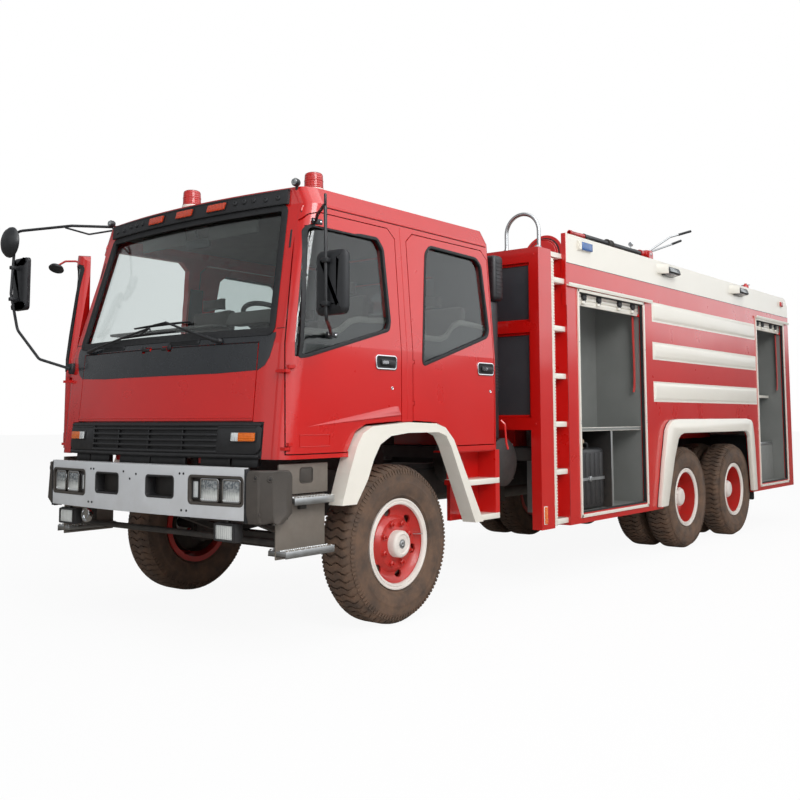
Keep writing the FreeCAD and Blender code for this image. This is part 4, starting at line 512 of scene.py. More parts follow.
def nut(centre, axis, across=0.026, thick=0.018, stud=0.012):
    # a hexagon nut on a washer, with the end of its stud
    part = turn([(0, across * 0.80), (0.003, across * 0.80), (0.003, across * 0.56),
                 (thick - 0.003, across * 0.56), (thick, across * 0.44), (thick, across * 0.28),
                 (thick + stud, across * 0.26), (thick + stud + 0.002, 0)], centre, axis, 6)
    return part


def screw(centre, axis, radius=0.007, thick=0.004):
    return turn([(-0.002, radius), (thick * 0.5, radius), (thick, radius * 0.6), (thick, radius * 0.3),
                 (thick * 0.4, radius * 0.25), (thick * 0.4, 0)], centre, axis, 10)


# ---- wheels and tyres
tyreSet = {"radius": 0.520, "tread": 0.012, "pitches": 60, "bar": 0.040, "wave": 0.011, "lugs": 108}
wheelSet = {"flange": 0.298, "bead": 0.280, "edge": 0.118, "nuts": 8, "nutRing": 0.1375, "holes": 6}
frontX, rearX, dual, axleZ = 1.040, 1.090, 0.332, 0.520
rearAxles = {"1": 4.650, "2": 6.020}


def tyre(piece, x, y):
    # carcass, wave-edged cross bars and small shoulder lugs
    top = tyreSet["radius"] - tyreSet["tread"]
    side = [(0.104, 0.281), (0.104, 0.300), (0.116, 0.312), (0.124, 0.318), (0.124, 0.326), (0.131, 0.340),
            (0.1385, 0.372), (0.1395, 0.398), (0.1395, 0.404), (0.1375, 0.408), (0.1375, 0.424),
            (0.1335, 0.452), (0.1325, 0.462), (0.122, 0.480), (0.108, 0.497), (0.080, top)]
    outline = side + [(0.03, top + 0.001), (-0.03, top + 0.001)] + [(-a, r) for a, r in reversed(side)]
    piece.take(turn(outline, (x, y, axleZ), steps=72, closed=True), tyreRubber)
    bars = bmesh.new()
    bmesh.ops.create_grid(bars, x_segments=12, y_segments=1, size=1.0)
    for spot in bars.verts:
        across, along = spot.co.x * 0.126, spot.co.y * tyreSet["bar"] / 2
        fall = max(0.0, abs(across) - 0.074) / 0.052
        radius = tyreSet["radius"] - 0.040 * fall ** 1.7
        angle = (along + tyreSet["wave"] * sin(across / 0.126 * 2.5 * pi)) / tyreSet["radius"]
        spot.co = Vector((across, radius * sin(angle), radius * cos(angle)))
    bmesh.ops.recalc_face_normals(bars, faces=bars.faces)
    bmesh.ops.solidify(bars, geom=bars.faces[:], thickness=0.016)
    for spot in bars.verts:
        if hypot(spot.co.y, spot.co.z) > tyreSet["radius"] + 0.001:
            spot.co = spot.co * 0.97
    bmesh.ops.spin(bars, geom=everything(bars), cent=(0, 0, 0), axis=(1, 0, 0),
                   angle=2 * pi * (tyreSet["pitches"] - 1) / tyreSet["pitches"], steps=tyreSet["pitches"] - 1,
                   use_duplicate=True)
    piece.take(moved(bars, (x, y, axleZ)), tyreRubber)
    for hand in (1, -1):
        lugs = slab((hand * 0.121, -0.0075, 0.458), (hand * 0.1365, 0.0075, 0.489), 0)
        for spot in lugs.verts:
            if spot.co.z > 0.47 and abs(spot.co.x) > 0.13:
                spot.co.x = hand * 0.128
        bmesh.ops.spin(lugs, geom=everything(lugs), cent=(0, 0, 0), axis=(1, 0, 0),
                       angle=2 * pi * (tyreSet["lugs"] - 1) / tyreSet["lugs"], steps=tyreSet["lugs"] - 1,
                       use_duplicate=True)
        piece.take(moved(lugs, (x, y, axleZ)), tyreRubber)


def rim(piece, x, y):
    # rolled rim barrel: white outer flange and lock ring, dark inner side
    edge, flange, bead = wheelSet["edge"], wheelSet["flange"], wheelSet["bead"]
    white = [(edge - 0.014, flange - 0.001), (edge - 0.002, flange), (edge, flange - 0.004),
             (edge, flange - 0.010), (edge - 0.006, flange - 0.016), (edge - 0.007, flange - 0.021),
             (edge - 0.001, flange - 0.025), (edge - 0.003, 0.262), (edge - 0.012, 0.256),
             (edge - 0.020, 0.256), (edge - 0.020, bead - 0.001)]
    piece.take(turn(white, (x, y, axleZ), steps=72, closed=True), wheelWhite)
    barrel = [(edge - 0.020, bead - 0.001), (-edge + 0.014, bead - 0.001), (-edge + 0.014, flange),
              (-edge, flange), (-edge, 0.258), (edge - 0.020, 0.256)]
    piece.take(turn(barrel, (x, y, axleZ), steps=72, closed=True), wheelRed)


def valve(piece, x, y, reach):
    piece.take(pipe([(x + reach, y + 0.21, axleZ + 0.04), (x + reach + 0.045, y + 0.222, axleZ + 0.042),
                     (x + reach + 0.075, y + 0.236, axleZ + 0.045)], 0.004, 0.01), aluminium)


def handHoles(x, y, reach, ring, turnBy=0.0):
    tools = []
    for index in range(wheelSet["holes"]):
        angle = 2 * pi * index / wheelSet["holes"] + turnBy
        tool = turn([(0, 0), (0, 0.023), (0.2, 0.023), (0.2, 0)], (0, 0, 0), (1, 0, 0), 16)
        bmesh.ops.scale(tool, vec=(1, 1.45, 1), verts=tool.verts)
        moved(tool, (x + reach, 0, ring))
        bmesh.ops.rotate(tool, cent=(0, 0, 0), matrix=Matrix.Rotation(angle, 3, "X"), verts=tool.verts)
        tools.append(moved(tool, (0, y, axleZ)))
    return tools


for side, flip in (("left", False), ("right", True)):
    rubber = Piece("tyre_front_" + side + "_dressed", side + "_front_wheel", "tyre", "tyre_front_" + side,
                   flip=flip)
    wheel = Piece("wheel_front_" + side + "_dressed", side + "_front_wheel", "rim_red", "wheel_front_" + side,
                  flip=flip)
    tyre(rubber, frontX, 0.0)
    rim(wheel, frontX, 0.0)
    disc = turn([(0.092, 0.256), (0.085, 0.250), (0.064, 0.232), (0.055, 0.212), (0.058, 0.190),
                 (0.078, 0.168), (0.084, 0.160), (0.084, 0.112), (0.088, 0.106), (0.088, 0.078),
                 (0.070, 0.078), (0.070, 0.155), (0.062, 0.164), (0.044, 0.186), (0.041, 0.214),
                 (0.050, 0.238), (0.070, 0.256)], (frontX, 0, axleZ), steps=72, closed=True)
    wheel.take(carve(disc, handHoles(frontX, 0, 0.0, 0.211, 0.26)), wheelRed)
    wheel.take(turn([(0.06, 0.090), (0.132, 0.088), (0.140, 0.083), (0.146, 0.074), (0.1475, 0.066),
                     (0.139, 0.060), (0.139, 0.0)], (frontX, 0, axleZ), steps=48), wheelWhite)
    wheel.take(turn([(0.139, 0.0), (0.143, 0.012), (0.1405, 0.018), (0.1405, 0.030)], (frontX, 0, axleZ),
                    steps=24), aluminium)
    wheel.take(turn([(-0.10, 0.22), (0.030, 0.22), (0.040, 0.20), (0.040, 0.10)], (frontX, 0, axleZ),
                    steps=48), castIron)
    for up, fore in around(wheelSet["nuts"], 0.5):
        wheel.take(nut((frontX + 0.084, wheelSet["nutRing"] * fore, axleZ + wheelSet["nutRing"] * up),
                       (1, 0, 0), 0.034, 0.022, 0.016), wheelRed)
    for up, fore in around(6, 0.25):
        wheel.take(screw((frontX + 0.140, 0.072 * fore, axleZ + 0.072 * up), (1, 0, 0), 0.007, 0.006),
                   wheelWhite)
    valve(wheel, frontX, 0.0, 0.05)
    rubber.build()
    wheel.build()
    for number, y in rearAxles.items():
        body = side + "_rear_wheels_" + number
        rubber = Piece("tyres_rear_" + number + "_" + side + "_dressed", body, "tyre",
                       "tyres_rear_" + number + "_" + side, flip=flip)
        wheel = Piece("wheels_rear_" + number + "_" + side + "_dressed", body, "rim_red",
                      "wheels_rear_" + number + "_" + side, flip=flip)
        tyre(rubber, rearX, y)
        tyre(rubber, rearX - dual, y)
        rim(wheel, rearX, y)
        innerRim = [(0.118, 0.298), (0.104, 0.298), (0.104, 0.279), (-0.104, 0.279), (-0.104, 0.298),
                    (-0.118, 0.298), (-0.118, 0.258), (0.118, 0.258)]
        wheel.take(turn(innerRim, (rearX - dual, y, axleZ), steps=72, closed=True), wheelRed)
        dish = turn([(-0.040, 0.257), (-0.062, 0.252), (-0.084, 0.236), (-0.096, 0.214), (-0.102, 0.188),
                     (-0.100, 0.165), (-0.096, 0.158), (-0.096, 0.100), (-0.112, 0.100), (-0.112, 0.165),
                     (-0.116, 0.188), (-0.110, 0.220), (-0.098, 0.246), (-0.075, 0.257)], (rearX, y, axleZ),
                    steps=72, closed=True)
        wheel.take(carve(dish, handHoles(rearX, y, -0.2, 0.212, 0.1)), wheelRed)
        hub = [(-0.10, 0.112), (-0.060, 0.110), (-0.048, 0.104), (0.010, 0.096), (0.020, 0.092),
               (0.024, 0.096), (0.040, 0.096), (0.044, 0.090), (0.058, 0.084), (0.067, 0.066),
               (0.0695, 0.040), (0.0695, 0.0)]
        wheel.take(turn(hub, (rearX, y, axleZ), steps=48), wheelWhite)
        drum = [(-0.40, 0.0), (-0.40, 0.20), (-0.385, 0.235), (-0.14, 0.235), (-0.118, 0.225), (-0.118, 0.10)]
        wheel.take(turn(drum, (rearX, y, axleZ), steps=48), castIron)
        for up, fore in around(wheelSet["nuts"], 0.5):
            spot = (rearX - 0.096, y + wheelSet["nutRing"] * fore, axleZ + wheelSet["nutRing"] * up)
            wheel.take(nut(spot, (1, 0, 0), 0.034, 0.024, 0.020), wheelRed)
        for up, fore in around(10):
            wheel.take(nut((rearX + 0.042, y + 0.083 * fore, axleZ + 0.083 * up), (1, 0, 0), 0.016, 0.010,
                           0.006), wheelWhite)
        valve(wheel, rearX, y, -0.10)
        rubber.build()
        wheel.build()
print("wheels made")


# ---- laying parts on the cab's curved skin
# each level: height, half width, foremost point
cabForm = {"levels": ((1.110, 1.190, -1.170), (1.800, 1.190, -1.108), (2.690, 1.122, -0.888),
                      (2.802, 1.062, -0.888)), "sag": 0.084, "corner": 0.112}


def cabLevel(z):
    # half width and foremost point of the cab at a height
    levels = cabForm["levels"]
    for (low, wide, nose), (high, wideNext, noseNext) in zip(levels, levels[1:]):
        if z <= high or high == levels[-1][0]:
            share = (z - low) / (high - low)
            return wide + (wideNext - wide) * share, nose + (noseNext - nose) * share


def frontSkin(x, z, out=0.0):
    half, nose = cabLevel(z)
    sag, corner = cabForm["sag"], cabForm["corner"]
    flat = half - corner
    radius = (flat * flat + sag * sag) / (2 * sag)
    if abs(x) <= flat:
        centre, reach = Vector((0, nose + radius)), radius
    else:
        centre, reach = Vector((flat if x > 0 else -flat, nose + sag + corner)), corner
    depth = sqrt(max(reach * reach - (x - centre.x) ** 2, 1e-9))
    away = Vector((x - centre.x, -depth)) / reach
    return Vector((x + away.x * out, centre.y - depth + away.y * out, z))


def sideSkin(y, z, out=0.0):
    half, nose = cabLevel(z)
    corner = cabForm["corner"]
    start = nose + cabForm["sag"] + corner
    if y >= start:
        return Vector((half + out, y, z))
    drop = min(start - y, corner * 0.96)
    across = sqrt(corner * corner - drop * drop)
    return Vector((half - corner + across * (1 + out / corner), start - drop * (1 + out / corner), z))


def sliced(part, axis, cell, low=-3.0, high=9.0):
    # cuts a part across at even steps, so that it can follow a curve
    normal = {"x": (1, 0, 0), "y": (0, 1, 0), "z": (0, 0, 1)}[axis]
    index = "xyz".index(axis)
    spots = [vert.co[index] for vert in part.verts]
    step = max(low, (int(min(spots) / cell) - 1) * cell)
    while step < min(max(spots), high):
        if step > min(spots) + 1e-4 and step < max(spots) - 1e-4:
            split(part, Vector(normal) * step, normal)
        step += cell
    return part


def onFront(part, cell=0.06):
    # a part drawn flat, with depth along -Y, laid on the cab's front
    sliced(part, "x", cell)
    for level in cabForm["levels"][1:3]:
        split(part, (0, 0, level[0]), (0, 0, 1))
    for vert in part.verts:
        vert.co = frontSkin(vert.co.x, vert.co.z, -vert.co.y)
    return part


def onSide(part, cell=0.05):
    # a part drawn flat, with depth along +X, laid on the cab's left side
    sliced(part, "y", cell, high=-0.80)
    split(part, (0, 0, cabForm["levels"][1][0]), (0, 0, 1))
    for vert in part.verts:
        vert.co = sideSkin(vert.co.y, vert.co.z, vert.co.x)
    return part


def hoop(outline, width, low, high, axis="x", corner=0.02, edge=0.002, steps=5):
    # a frame of even width inside an outline
    part = bmesh.new()
    spots = [part.verts.new(onPlane(axis, u, v, low)) for u, v in outline]
    part.faces.new(spots)
    if corner:
        bmesh.ops.bevel(part, geom=part.verts[:], offset=corner, segments=steps, profile=0.5,
                        affect="VERTICES", material=-1, clamp_overlap=True)
    middle = part.faces[:]
    bmesh.ops.inset_individual(part, faces=middle, thickness=width)
    bmesh.ops.delete(part, geom=middle, context="FACES")
    grown = bmesh.ops.extrude_face_region(part, geom=part.faces[:])
    risen = [item for item in grown["geom"] if isinstance(item, bmesh.types.BMVert)]
    bmesh.ops.translate(part, vec=onPlane(axis, 0, 0, high - low), verts=risen)
    return soften(part, edge) if edge else part


def box2(u0, u1, v0, v1):
    return [(u0, v0), (u1, v0), (u1, v1), (u0, v1)]


# ---- bumper, its lamps and the corner steps
bumperSet = {"half": 1.020, "nose": -1.278, "end": -1.222, "back": -1.196, "wall": 0.010}


def bow(x, depth=0.0):
    return bumperSet["nose"] + (bumperSet["end"] - bumperSet["nose"]) * (x / bumperSet["half"]) ** 2 + depth


def bowed(part, cell=0.085):
    # follows the bumper's curve: depth 0 is its outer face
    sliced(part, "x", cell)
    for vert in part.verts:
        vert.co.y = bow(vert.co.x, vert.co.y)
    return part


bumper = Piece("bumper_dressed", "chassis", "bumper_grey", "front_bumper")
shell = slab((-1.018, 0.0, 0.763), (1.018, 0.026, 1.067), 0)
shell = carve(shell, [slab((-1.03, bumperSet["wall"], 0.775), (1.03, 0.2, 1.055), 0)] +
              [board(box2(u0, u1, 0.868, 1.002), -0.1, 0.2, "y", 0, 0.024) for u0, u1 in ((0.146, 0.416),
               (-0.416, -0.146))] + [board(box2(u0, u1, 0.842, 1.014), -0.1, 0.2, "y", 0, 0.030)
                                           for u0, u1 in ((0.548, 1.002), (-1.002, -0.548))])
bumper.take(soften(bowed(shell), 0.005, 3), bumperEnamel)
for low, high in ((0.763, 0.775), (1.055, 1.067)):          # flanges turned back along the top and foot
    flange = slab((-1.018, 0.02, low), (1.018, 0.08, high), 0)
    bowed(flange)
    for vert in flange.verts:
        vert.co.y = min(vert.co.y, bumperSet["back"])
    bumper.take(flange, bumperEnamel)
bumper.take(slab((0.345, -1.25, 0.790), (0.415, -1.062, 0.860), 0.004), frameEnamel, both=True)
# dark liners of the towing openings
bumper.take(bowed(hoop(box2(0.142, 0.420, 0.864, 1.006), 0.012, -0.0015, 0.075, "y", 0.026, 0.0015)),
            blackPlastic, both=True)
bumper.take(slab((0.12, -1.203, 0.85), (0.44, -1.198, 1.02), 0.001), frameEnamel, both=True)
for x, z in ((0.470, 1.020), (0.505, 1.020), (-0.440, 1.022), (-0.475, 1.022), (0.49, 0.800), (0.535, 0.800),
             (-0.455, 0.802), (-0.50, 0.802), (0.045, 1.004), (-0.09, 1.016), (-0.02, 0.972)):
    bumper.take(screw((x, bow(x), z), (0, -1, 0), 0.0075, 0.004), sealRubber)
bumper.build()

lamps = Piece("head_lamps", "chassis", "lamp_lens", "lamps")
lamps.take(bowed(hoop(box2(0.545, 1.005, 0.839, 1.017), 0.016, -0.002, 0.055, "y", 0.032, 0.002)), capPlastic,
           both=True)
lamps.take(bowed(slab((0.550, 0.030, 0.845), (1.000, 0.036, 1.011), 0.001)), capPlastic, both=True)
for u0, u1 in ((0.642, 0.800), (0.826, 0.976)):
    lamps.take(bowed(hoop(box2(u0, u1, 0.858, 0.998), 0.011, 0.006, 0.034, "y", 0.022, 0.002)), chrome,
               both=True)
    lens = bmesh.new()
    bmesh.ops.create_grid(lens, x_segments=8, y_segments=8, size=0.5)
    for vert in lens.verts:
        u, v = vert.co.x * 2, vert.co.y * 2
        swell = (1 - u * u) * (1 - v * v)
        vert.co = Vector(((u0 + u1) / 2 + u * (u1 - u0 - 0.020) / 2, 0.014 - 0.012 * swell ** 0.5,
                          0.928 + v * 0.060))
    bmesh.ops.solidify(lens, geom=lens.faces[:], thickness=-0.006)
    lamps.take(bowed(lens), headLens, both=True)
    lamps.take(bowed(slab((u0 + 0.02, 0.001, 0.924), (u1 - 0.02, 0.006, 0.927), 0.001)), headLens, both=True)
lamps.take(bowed(hoop(box2(0.566, 0.624, 0.872, 0.984), 0.007, 0.014, 0.032, "y", 0.012, 0.002)),
           blackPlastic, both=True)
lamps.take(bowed(slab((0.572, 0.018, 0.879), (0.618, 0.032, 0.977), 0.005)), clearTurn, both=True)
fog = slab((0.742, -1.215, 0.630), (0.922, -1.150, 0.742), 0.010)
lamps.take(fog, blackPlastic, both=True)
lamps.take(hoop(box2(0.746, 0.918, 0.634, 0.738), 0.010, -1.226, -1.214, "y", 0.012, 0.002), blackPlastic,
           both=True)
lamps.take(slab((0.757, -1.221, 0.645), (0.907, -1.214, 0.727), 0.004), headLens, both=True)
lamps.take(slab((0.820, -1.200, 0.738), (0.850, -1.180, 0.790), 0.003), frameEnamel, both=True)
lamps.take(nut((0.835, -1.19, 0.745), (0, 0, 1), 0.016, 0.008, 0.004), chrome, both=True)
horn = [(0.0, 0.0), (0.0, 0.030), (-0.020, 0.046), (-0.040, 0.050), (-0.046, 0.048), (-0.046, 0.042),
        (-0.036, 0.040), (-0.036, 0.022), (-0.042, 0.020), (-0.042, 0.0)]
lamps.take(turn(horn, (-0.640, -1.150, 0.700), (0, 1, 0), 32), chrome)
lamps.take(slab((-0.650, -1.150, 0.695), (-0.630, -1.125, 0.800), 0.002), frameEnamel)
lamps.build()

corners = Piece("bumper_corners", "chassis", "dark_plastic", "bumper_ends")
plan = [(1.021, -1.228), (1.100, -1.196), (1.160, -1.140), (1.193, -1.066), (1.195, -1.012), (1.158, -1.012),
        (1.156, -1.060), (1.130, -1.116), (1.080, -1.160), (1.021, -1.186)]
cap = board(plan, 0.744, 1.052, "z", 0)
for height in (0.80, 1.015, 1.038):
    split(cap, (0, 0, height), (0, 0, 1))
for vert in cap.verts:
    rise = 0 if vert.co.z <= 1.03 else 1.0 if vert.co.z > 1.05 else 0.35
    # the foot tucks in, with its rear corner cut back
    if vert.co.z < 0.75:
        vert.co.x -= 0.012 * (vert.co.x - 1.02) / 0.17
        vert.co.y += 0.020 - 0.085 * (vert.co.y > -1.07)
    elif vert.co.y > -1.07:                                    # rounded upper corners
        vert.co.y -= 0.030 * rise
    elif vert.co.x < 1.03:
        vert.co.x += 0.026 * rise
corners.take(soften(cap, 0.009, 3), capPlastic, both=True)
corners.take(board(box2(1.006, 1.022, -1.224, -1.19), 0.75, 1.06, "z",
                   0.003), sealRubber, both=True)
for place, axis in (((1.080, -1.204, 1.008), (0.42, -0.9, 0)), ((1.150, -1.153, 1.002), (0.75, -0.66, 0)),
                    ((1.095, -1.197, 0.800), (0.42, -0.9, 0))):
    ring = turn([(0.0, 0.018), (0.003, 0.017), (0.004, 0.013), (0.001, 0.011), (0.001, 0.0)], place, axis, 20)
    corners.take(ring, capPlastic, both=True)
    corners.take(screw(place, axis, 0.009, 0.005), frameEnamel, both=True)
stepSteel = finish("dusty_grey_step_steel", {  # painted sheet beside the steps, brown with road dust
    "tone": "#7C756C", "shade": "#6A635B", "patchMm": 60, "rough": 0.52, "spread": 0.10,
    "grainMm": 4.0, "grain": 0.15, "dust": ("#6E6155", 0.4, 1.3, 0.55), "shader": {"IOR": 1.5}})
for low, high, inner, outer in ((0.905, 1.082, 1.120, 1.135), (0.532, 0.895, 1.100, 1.112)):
    corners.take(board(box2(-1.070, -0.664, low, high), inner, outer, "x", 0.004), stepSteel, both=True)
corners.take(hoop(box2(-0.905, -0.795, 0.965, 1.060), 0.007, 1.135, 1.1405, "x", 0.020), capPlastic,
             both=True)
corners.take(board(box2(-0.897, -0.803, 0.973, 1.052), 1.134, 1.1375, "x", 0.001, 0.016), capPlastic,
             both=True)
for z, front in ((0.890, -1.000), (0.590, -1.068)):
    corners.take(slab((1.042, front, z - 0.036), (1.193, -0.664, z - 0.006), 0.005), aluminium, both=True)
    corners.take(slab((1.186, front, z - 0.046), (1.194, -0.664, z - 0.004), 0.002), aluminium, both=True)
    for index in range(int((-0.672 - front) / 0.024)):         # grip teeth along both lips
        y = front + 0.006 + index * 0.024
        for x in (1.050, 1.184):
            corners.take(slab((x, y, z - 0.008), (x + 0.006, y + 0.014, z + 0.003), 0), stepPlate, both=True)
    teeth = bmesh.new()
    count = 24
    for index in range(count):
        y = front + 0.012 + (-0.664 - front - 0.024) * index / (count - 1)
        for x in (1.060, 1.100, 1.140, 1.180):
            tooth = bmesh.new()
            bmesh.ops.create_cone(tooth, cap_ends=True, segments=4, radius1=0.0075, radius2=0.003,
                                  depth=0.006)
            pour(moved(tooth, (x, y, z - 0.003)), teeth)
            tooth.free()
    corners.take(teeth, aluminium, both=True)
corners.take(slab((1.042, -1.068, 0.552), (1.193, -0.664, 0.560), 0.002), frameEnamel, both=True)
corners.take(slab((0.437, -0.898, 0.812), (1.135, -0.842, 0.868), 0.005), frameEnamel, both=True)
corners.take(slab((1.045, -0.898, 0.570), (1.108, -0.842, 0.868), 0.005), frameEnamel, both=True)
corners.take(slab((1.080, -1.046, 0.764), (1.158, -1.016, 1.046), 0.004), frameEnamel, both=True)
corners.take(bar((-1.045, -0.99, 0.620), (1.045, -0.99, 0.620), 0.020), frameEnamel)
corners.build()
print("bumper, lamps and steps made")


# ---- grille, service lid, cowl and windscreen
front = Piece("grille_dressed", "cab", "black_plastic", "grille")
openings = [slab((-0.640, -0.1, 1.160 + row * 0.034), (0.640, 0.1, 1.180 + row * 0.034), 0)
            for row in range(4)]
front.take(onFront(carve(slab((-1.006, 0.004, 1.114), (1.006, 0.018, 1.328), 0), openings)), blackPlastic)
front.take(onFront(board([(-0.985, 1.168), (0.985, 1.168), (1.002, 1.190), (1.002, 1.300), (0.980, 1.322),
                          (-0.980, 1.322), (-1.002, 1.300), (-1.002, 1.190)], 0.010, 0.022, "y", 0)),
           blackPlastic)
for index in range(5):                                       # centre bars, each with a rolled lip
    z = 1.150 + index * 0.0345
    blade = slab((-0.655, -0.012, z - 0.0065), (0.655, 0.012, z + 0.0065), 0)
    front.take(soften(onFront(blade), 0.003), blackPlastic)
for x in (-0.34, 0.0, 0.34):
    front.take(onFront(slab((x - 0.006, -0.004, 1.140), (x + 0.006, 0.012, 1.300), 0.002)), blackPlastic)
side = board([(0.655, 1.140), (0.970, 1.140), (1.000, 1.170), (1.000, 1.292), (0.970, 1.318), (0.655, 1.318)],
             -0.008, 0.004, "y", 0, 0.012)
front.take(soften(onFront(side), 0.003), blackPlastic, both=True)
front.take(soften(onFront(slab((0.667, -0.012, 1.295), (0.960, -0.004, 1.305), 0)), 0.002), blackPlastic,
           both=True)
front.take(soften(onFront(slab((-0.995, -0.012, 1.306), (0.995, 0.010, 1.322), 0)), 0.004), blackPlastic)
front.take(soften(onFront(slab((-0.990, -0.010, 1.118), (0.990, 0.010, 1.136), 0)), 0.004), blackPlastic)
front.build()

cabTrim = Piece("cab_front_trim", "cab", "black_plastic")
turnSet = {"x": (0.782, 0.962), "split": 0.836, "z": (1.216, 1.266)}
u0, u1 = turnSet["x"]
z0, z1 = turnSet["z"]
rim = board(box2(u0 - 0.006, u1 + 0.006, z0 - 0.006, z1 + 0.006), -0.016, -0.004, "y", 0, 0.006)
cabTrim.take(soften(onFront(rim), 0.002), blackPlastic, both=True)
for low, high, look in ((u0, turnSet["split"], clearTurn), (turnSet["split"] + 0.002, u1, amberLens)):
    lens = board(box2(low, high, z0, z1), -0.024, -0.010, "y", 0, 0.005)
    cabTrim.take(soften(onFront(lens, 0.03), 0.003), look, both=True)
# air dam in segments, clear of the pivots
for x0, x1 in ((0.005, 0.350), (0.490, 0.740), (0.755, 0.960)):
    cabTrim.take(onFront(slab((x0, 0.030, 1.060), (x1, 0.050, 1.112), 0.004)), blackPlastic, both=True)

# black enamel below the windscreen: on the shell, round the lid
band = board([(-0.985, 1.866), (0.985, 1.866), (1.040, 1.866), (1.043, 1.835), (1.034, 1.780), (1.014, 1.716),
              (0.984, 1.668), (0.9272, 1.637), (0.9272, 1.8132), (-0.9272, 1.8132), (-0.9272, 1.637),
              (-0.984, 1.668), (-1.014, 1.716), (-1.034, 1.780), (-1.043, 1.835), (-1.040, 1.866)], -0.0016,
             0.001, "y", 0)
notches = [slab((x - 0.034, -0.1, 1.800), (x + 0.034, 0.1, 1.823), 0) for x in (-0.090, 0.090)]
cabTrim.take(onFront(carve(band, notches)), blackGloss)
for x0, x1 in ((-0.9265, -0.165), (-0.050, 0.050), (0.165, 0.9265)):      # seal in the lid's joint
    cabTrim.take(onFront(slab((x0, 0.004, 1.8075), (x1, 0.008, 1.8125), 0)), sealRubber)
cabTrim.take(onFront(slab((0.9215, 0.004, 1.640), (0.9265, 0.008, 1.8070), 0)), sealRubber, both=True)
cabTrim.take(slab((0.1208, -1.1150, 1.7985), (0.1525, -1.1000, 1.8300), 0.002), blackPlastic, both=True)
for u0, u1 in ((-0.66, -0.38), (0.12, 0.42)):                # cowl air vents
    cabTrim.take(soften(onFront(board(box2(u0, u1, 1.822, 1.852), -0.007, 0.0, "y", 0, 0.008)), 0.002),
                 blackPlastic)
    for index in range(4):
        z = 1.8275 + index * 0.0062
        cabTrim.take(onFront(slab((u0 + 0.015, -0.010, z), (u1 - 0.015, -0.005, z + 0.0028), 0.0008)),
                     sealRubber)
screen = [(-1.032, 1.850), (1.032, 1.850), (0.935, 2.699), (-0.935, 2.699)]
seal = hoop(screen, 0.046, -0.006, 0.018, "y", 0.055, 0)
cabTrim.take(soften(onFront(seal, 0.05), 0.003), sealRubber)
cabTrim.take(pipe([frontSkin(x, z, 0.004) for x, z in ((-0.96, 1.8775), (-0.5, 1.8775), (0, 1.8775),
                   (0.5, 1.8775), (0.96, 1.8775))], 0.004, 0.0), sealRubber)
# header band clips, and a black seal strip under the band that also paints the shadow beneath the band's
# overhang
for x in (0.50, 0.58, 0.66, 0.76, 0.86):
    clip = turn([(-0.004, 0.020), (0.004, 0.019), (0.008, 0.012), (0.008, 0.006), (0.004, 0.004), (0.004, 0)],
                frontSkin(x, 2.752 - 0.010 * (x > 0.7), 0.016), (0.1, -1, 0.25), 14)
    cabTrim.take(clip, blackPlastic, both=True)
# partly painted shade: the black strip stands for both the seal and the shadow line under the header band
cabTrim.take(soften(onFront(slab((-0.935, -0.020, 2.694), (0.935, -0.010, 2.704), 0)), 0.002), sealRubber)
cabTrim.take(soften(onFront(slab((-0.935, -0.0195, 2.779), (0.935, -0.010, 2.789), 0)), 0.002), blackPlastic)

# wipers: spindle cap, cranked arm, carrier and blade
wiperSet = {"left": ((0.606, 1.829), (0.06, 1.985), (-0.319, 1.968), (0.290, 1.976)),
            "right": ((-0.843, 1.829), (-0.10, 1.955), (-0.444, 1.909), (0.150, 1.920))}
for foot, tip, first, last in wiperSet.values():
    base = frontSkin(*foot, 0.004)
    cabTrim.take(turn([(0, 0.020), (0.010, 0.019), (0.018, 0.014), (0.026, 0.012), (0.028, 0.008),
                       (0.028, 0)], base, (0, -1, 0.25), 20), blackPlastic)
    arm = [frontSkin(*foot, 0.026), frontSkin(foot[0] + (tip[0] - foot[0]) * 0.22,
                                              foot[1] + (tip[1] - foot[1]) * 0.22, 0.034),
           frontSkin(foot[0] + (tip[0] - foot[0]) * 0.7, foot[1] + (tip[1] - foot[1]) * 0.7, 0.030),
           frontSkin(*tip, 0.024)]
    cabTrim.take(pipe(arm, 0.0075, 0.02), blackPlastic)
    cabTrim.take(pipe([arm[0], arm[0].lerp(arm[1], 0.9)], 0.012), blackPlastic)
    span = [frontSkin(first[0] + (last[0] - first[0]) * share, first[1] + (last[1] - first[1]) * share, 0.0)
            for share in (0, 0.2, 0.4, 0.6, 0.8, 1.0)]
    away = Vector((0, -1, 0.25)).normalized()
    cabTrim.take(pipe([spot + away * -0.004 for spot in span], 0.006), sealRubber)
    cabTrim.take(pipe([spot + away * lift
                       for spot, lift in zip(span, (0.000, 0.008, 0.013, 0.013, 0.008, 0.000))], 0.0045),
                 blackPlastic)
    cabTrim.take(pipe([span[2] + away * 0.016, frontSkin(*tip, 0.022), span[3] + away * 0.016], 0.005, 0.01),
                 blackPlastic)
cabTrim.build()

lidTrim = Piece("service_lid_trim", "service_lid", "black_plastic")
skin = board([(-0.9198, 1.640), (-0.6, 1.628), (0.6, 1.628), (0.9198, 1.640), (0.9198, 1.8058),
              (-0.9198, 1.8058)], -0.0016, 0.001, "y", 0)
notches = [slab((x - 0.018, -0.1, 1.786), (x + 0.018, 0.1, 1.830), 0) for x in (-0.138, 0.138)]
lidTrim.take(onFront(carve(skin, notches)), blackGloss)
lidTrim.take(soften(onFront(slab((-0.915, -0.003, 1.352), (0.915, 0.001, 1.362), 0)), 0.002), redEnamel)
lidTrim.take(turn([(0, 0.0092), (0, 0.0104), (0.0575, 0.0104), (0.0575, 0.0092)], (0.0612, -1.108, 1.806),
                  (1, 0, 0), 24, closed=True), blackPlastic, both=True)
lidTrim.build()
print("cab front made")


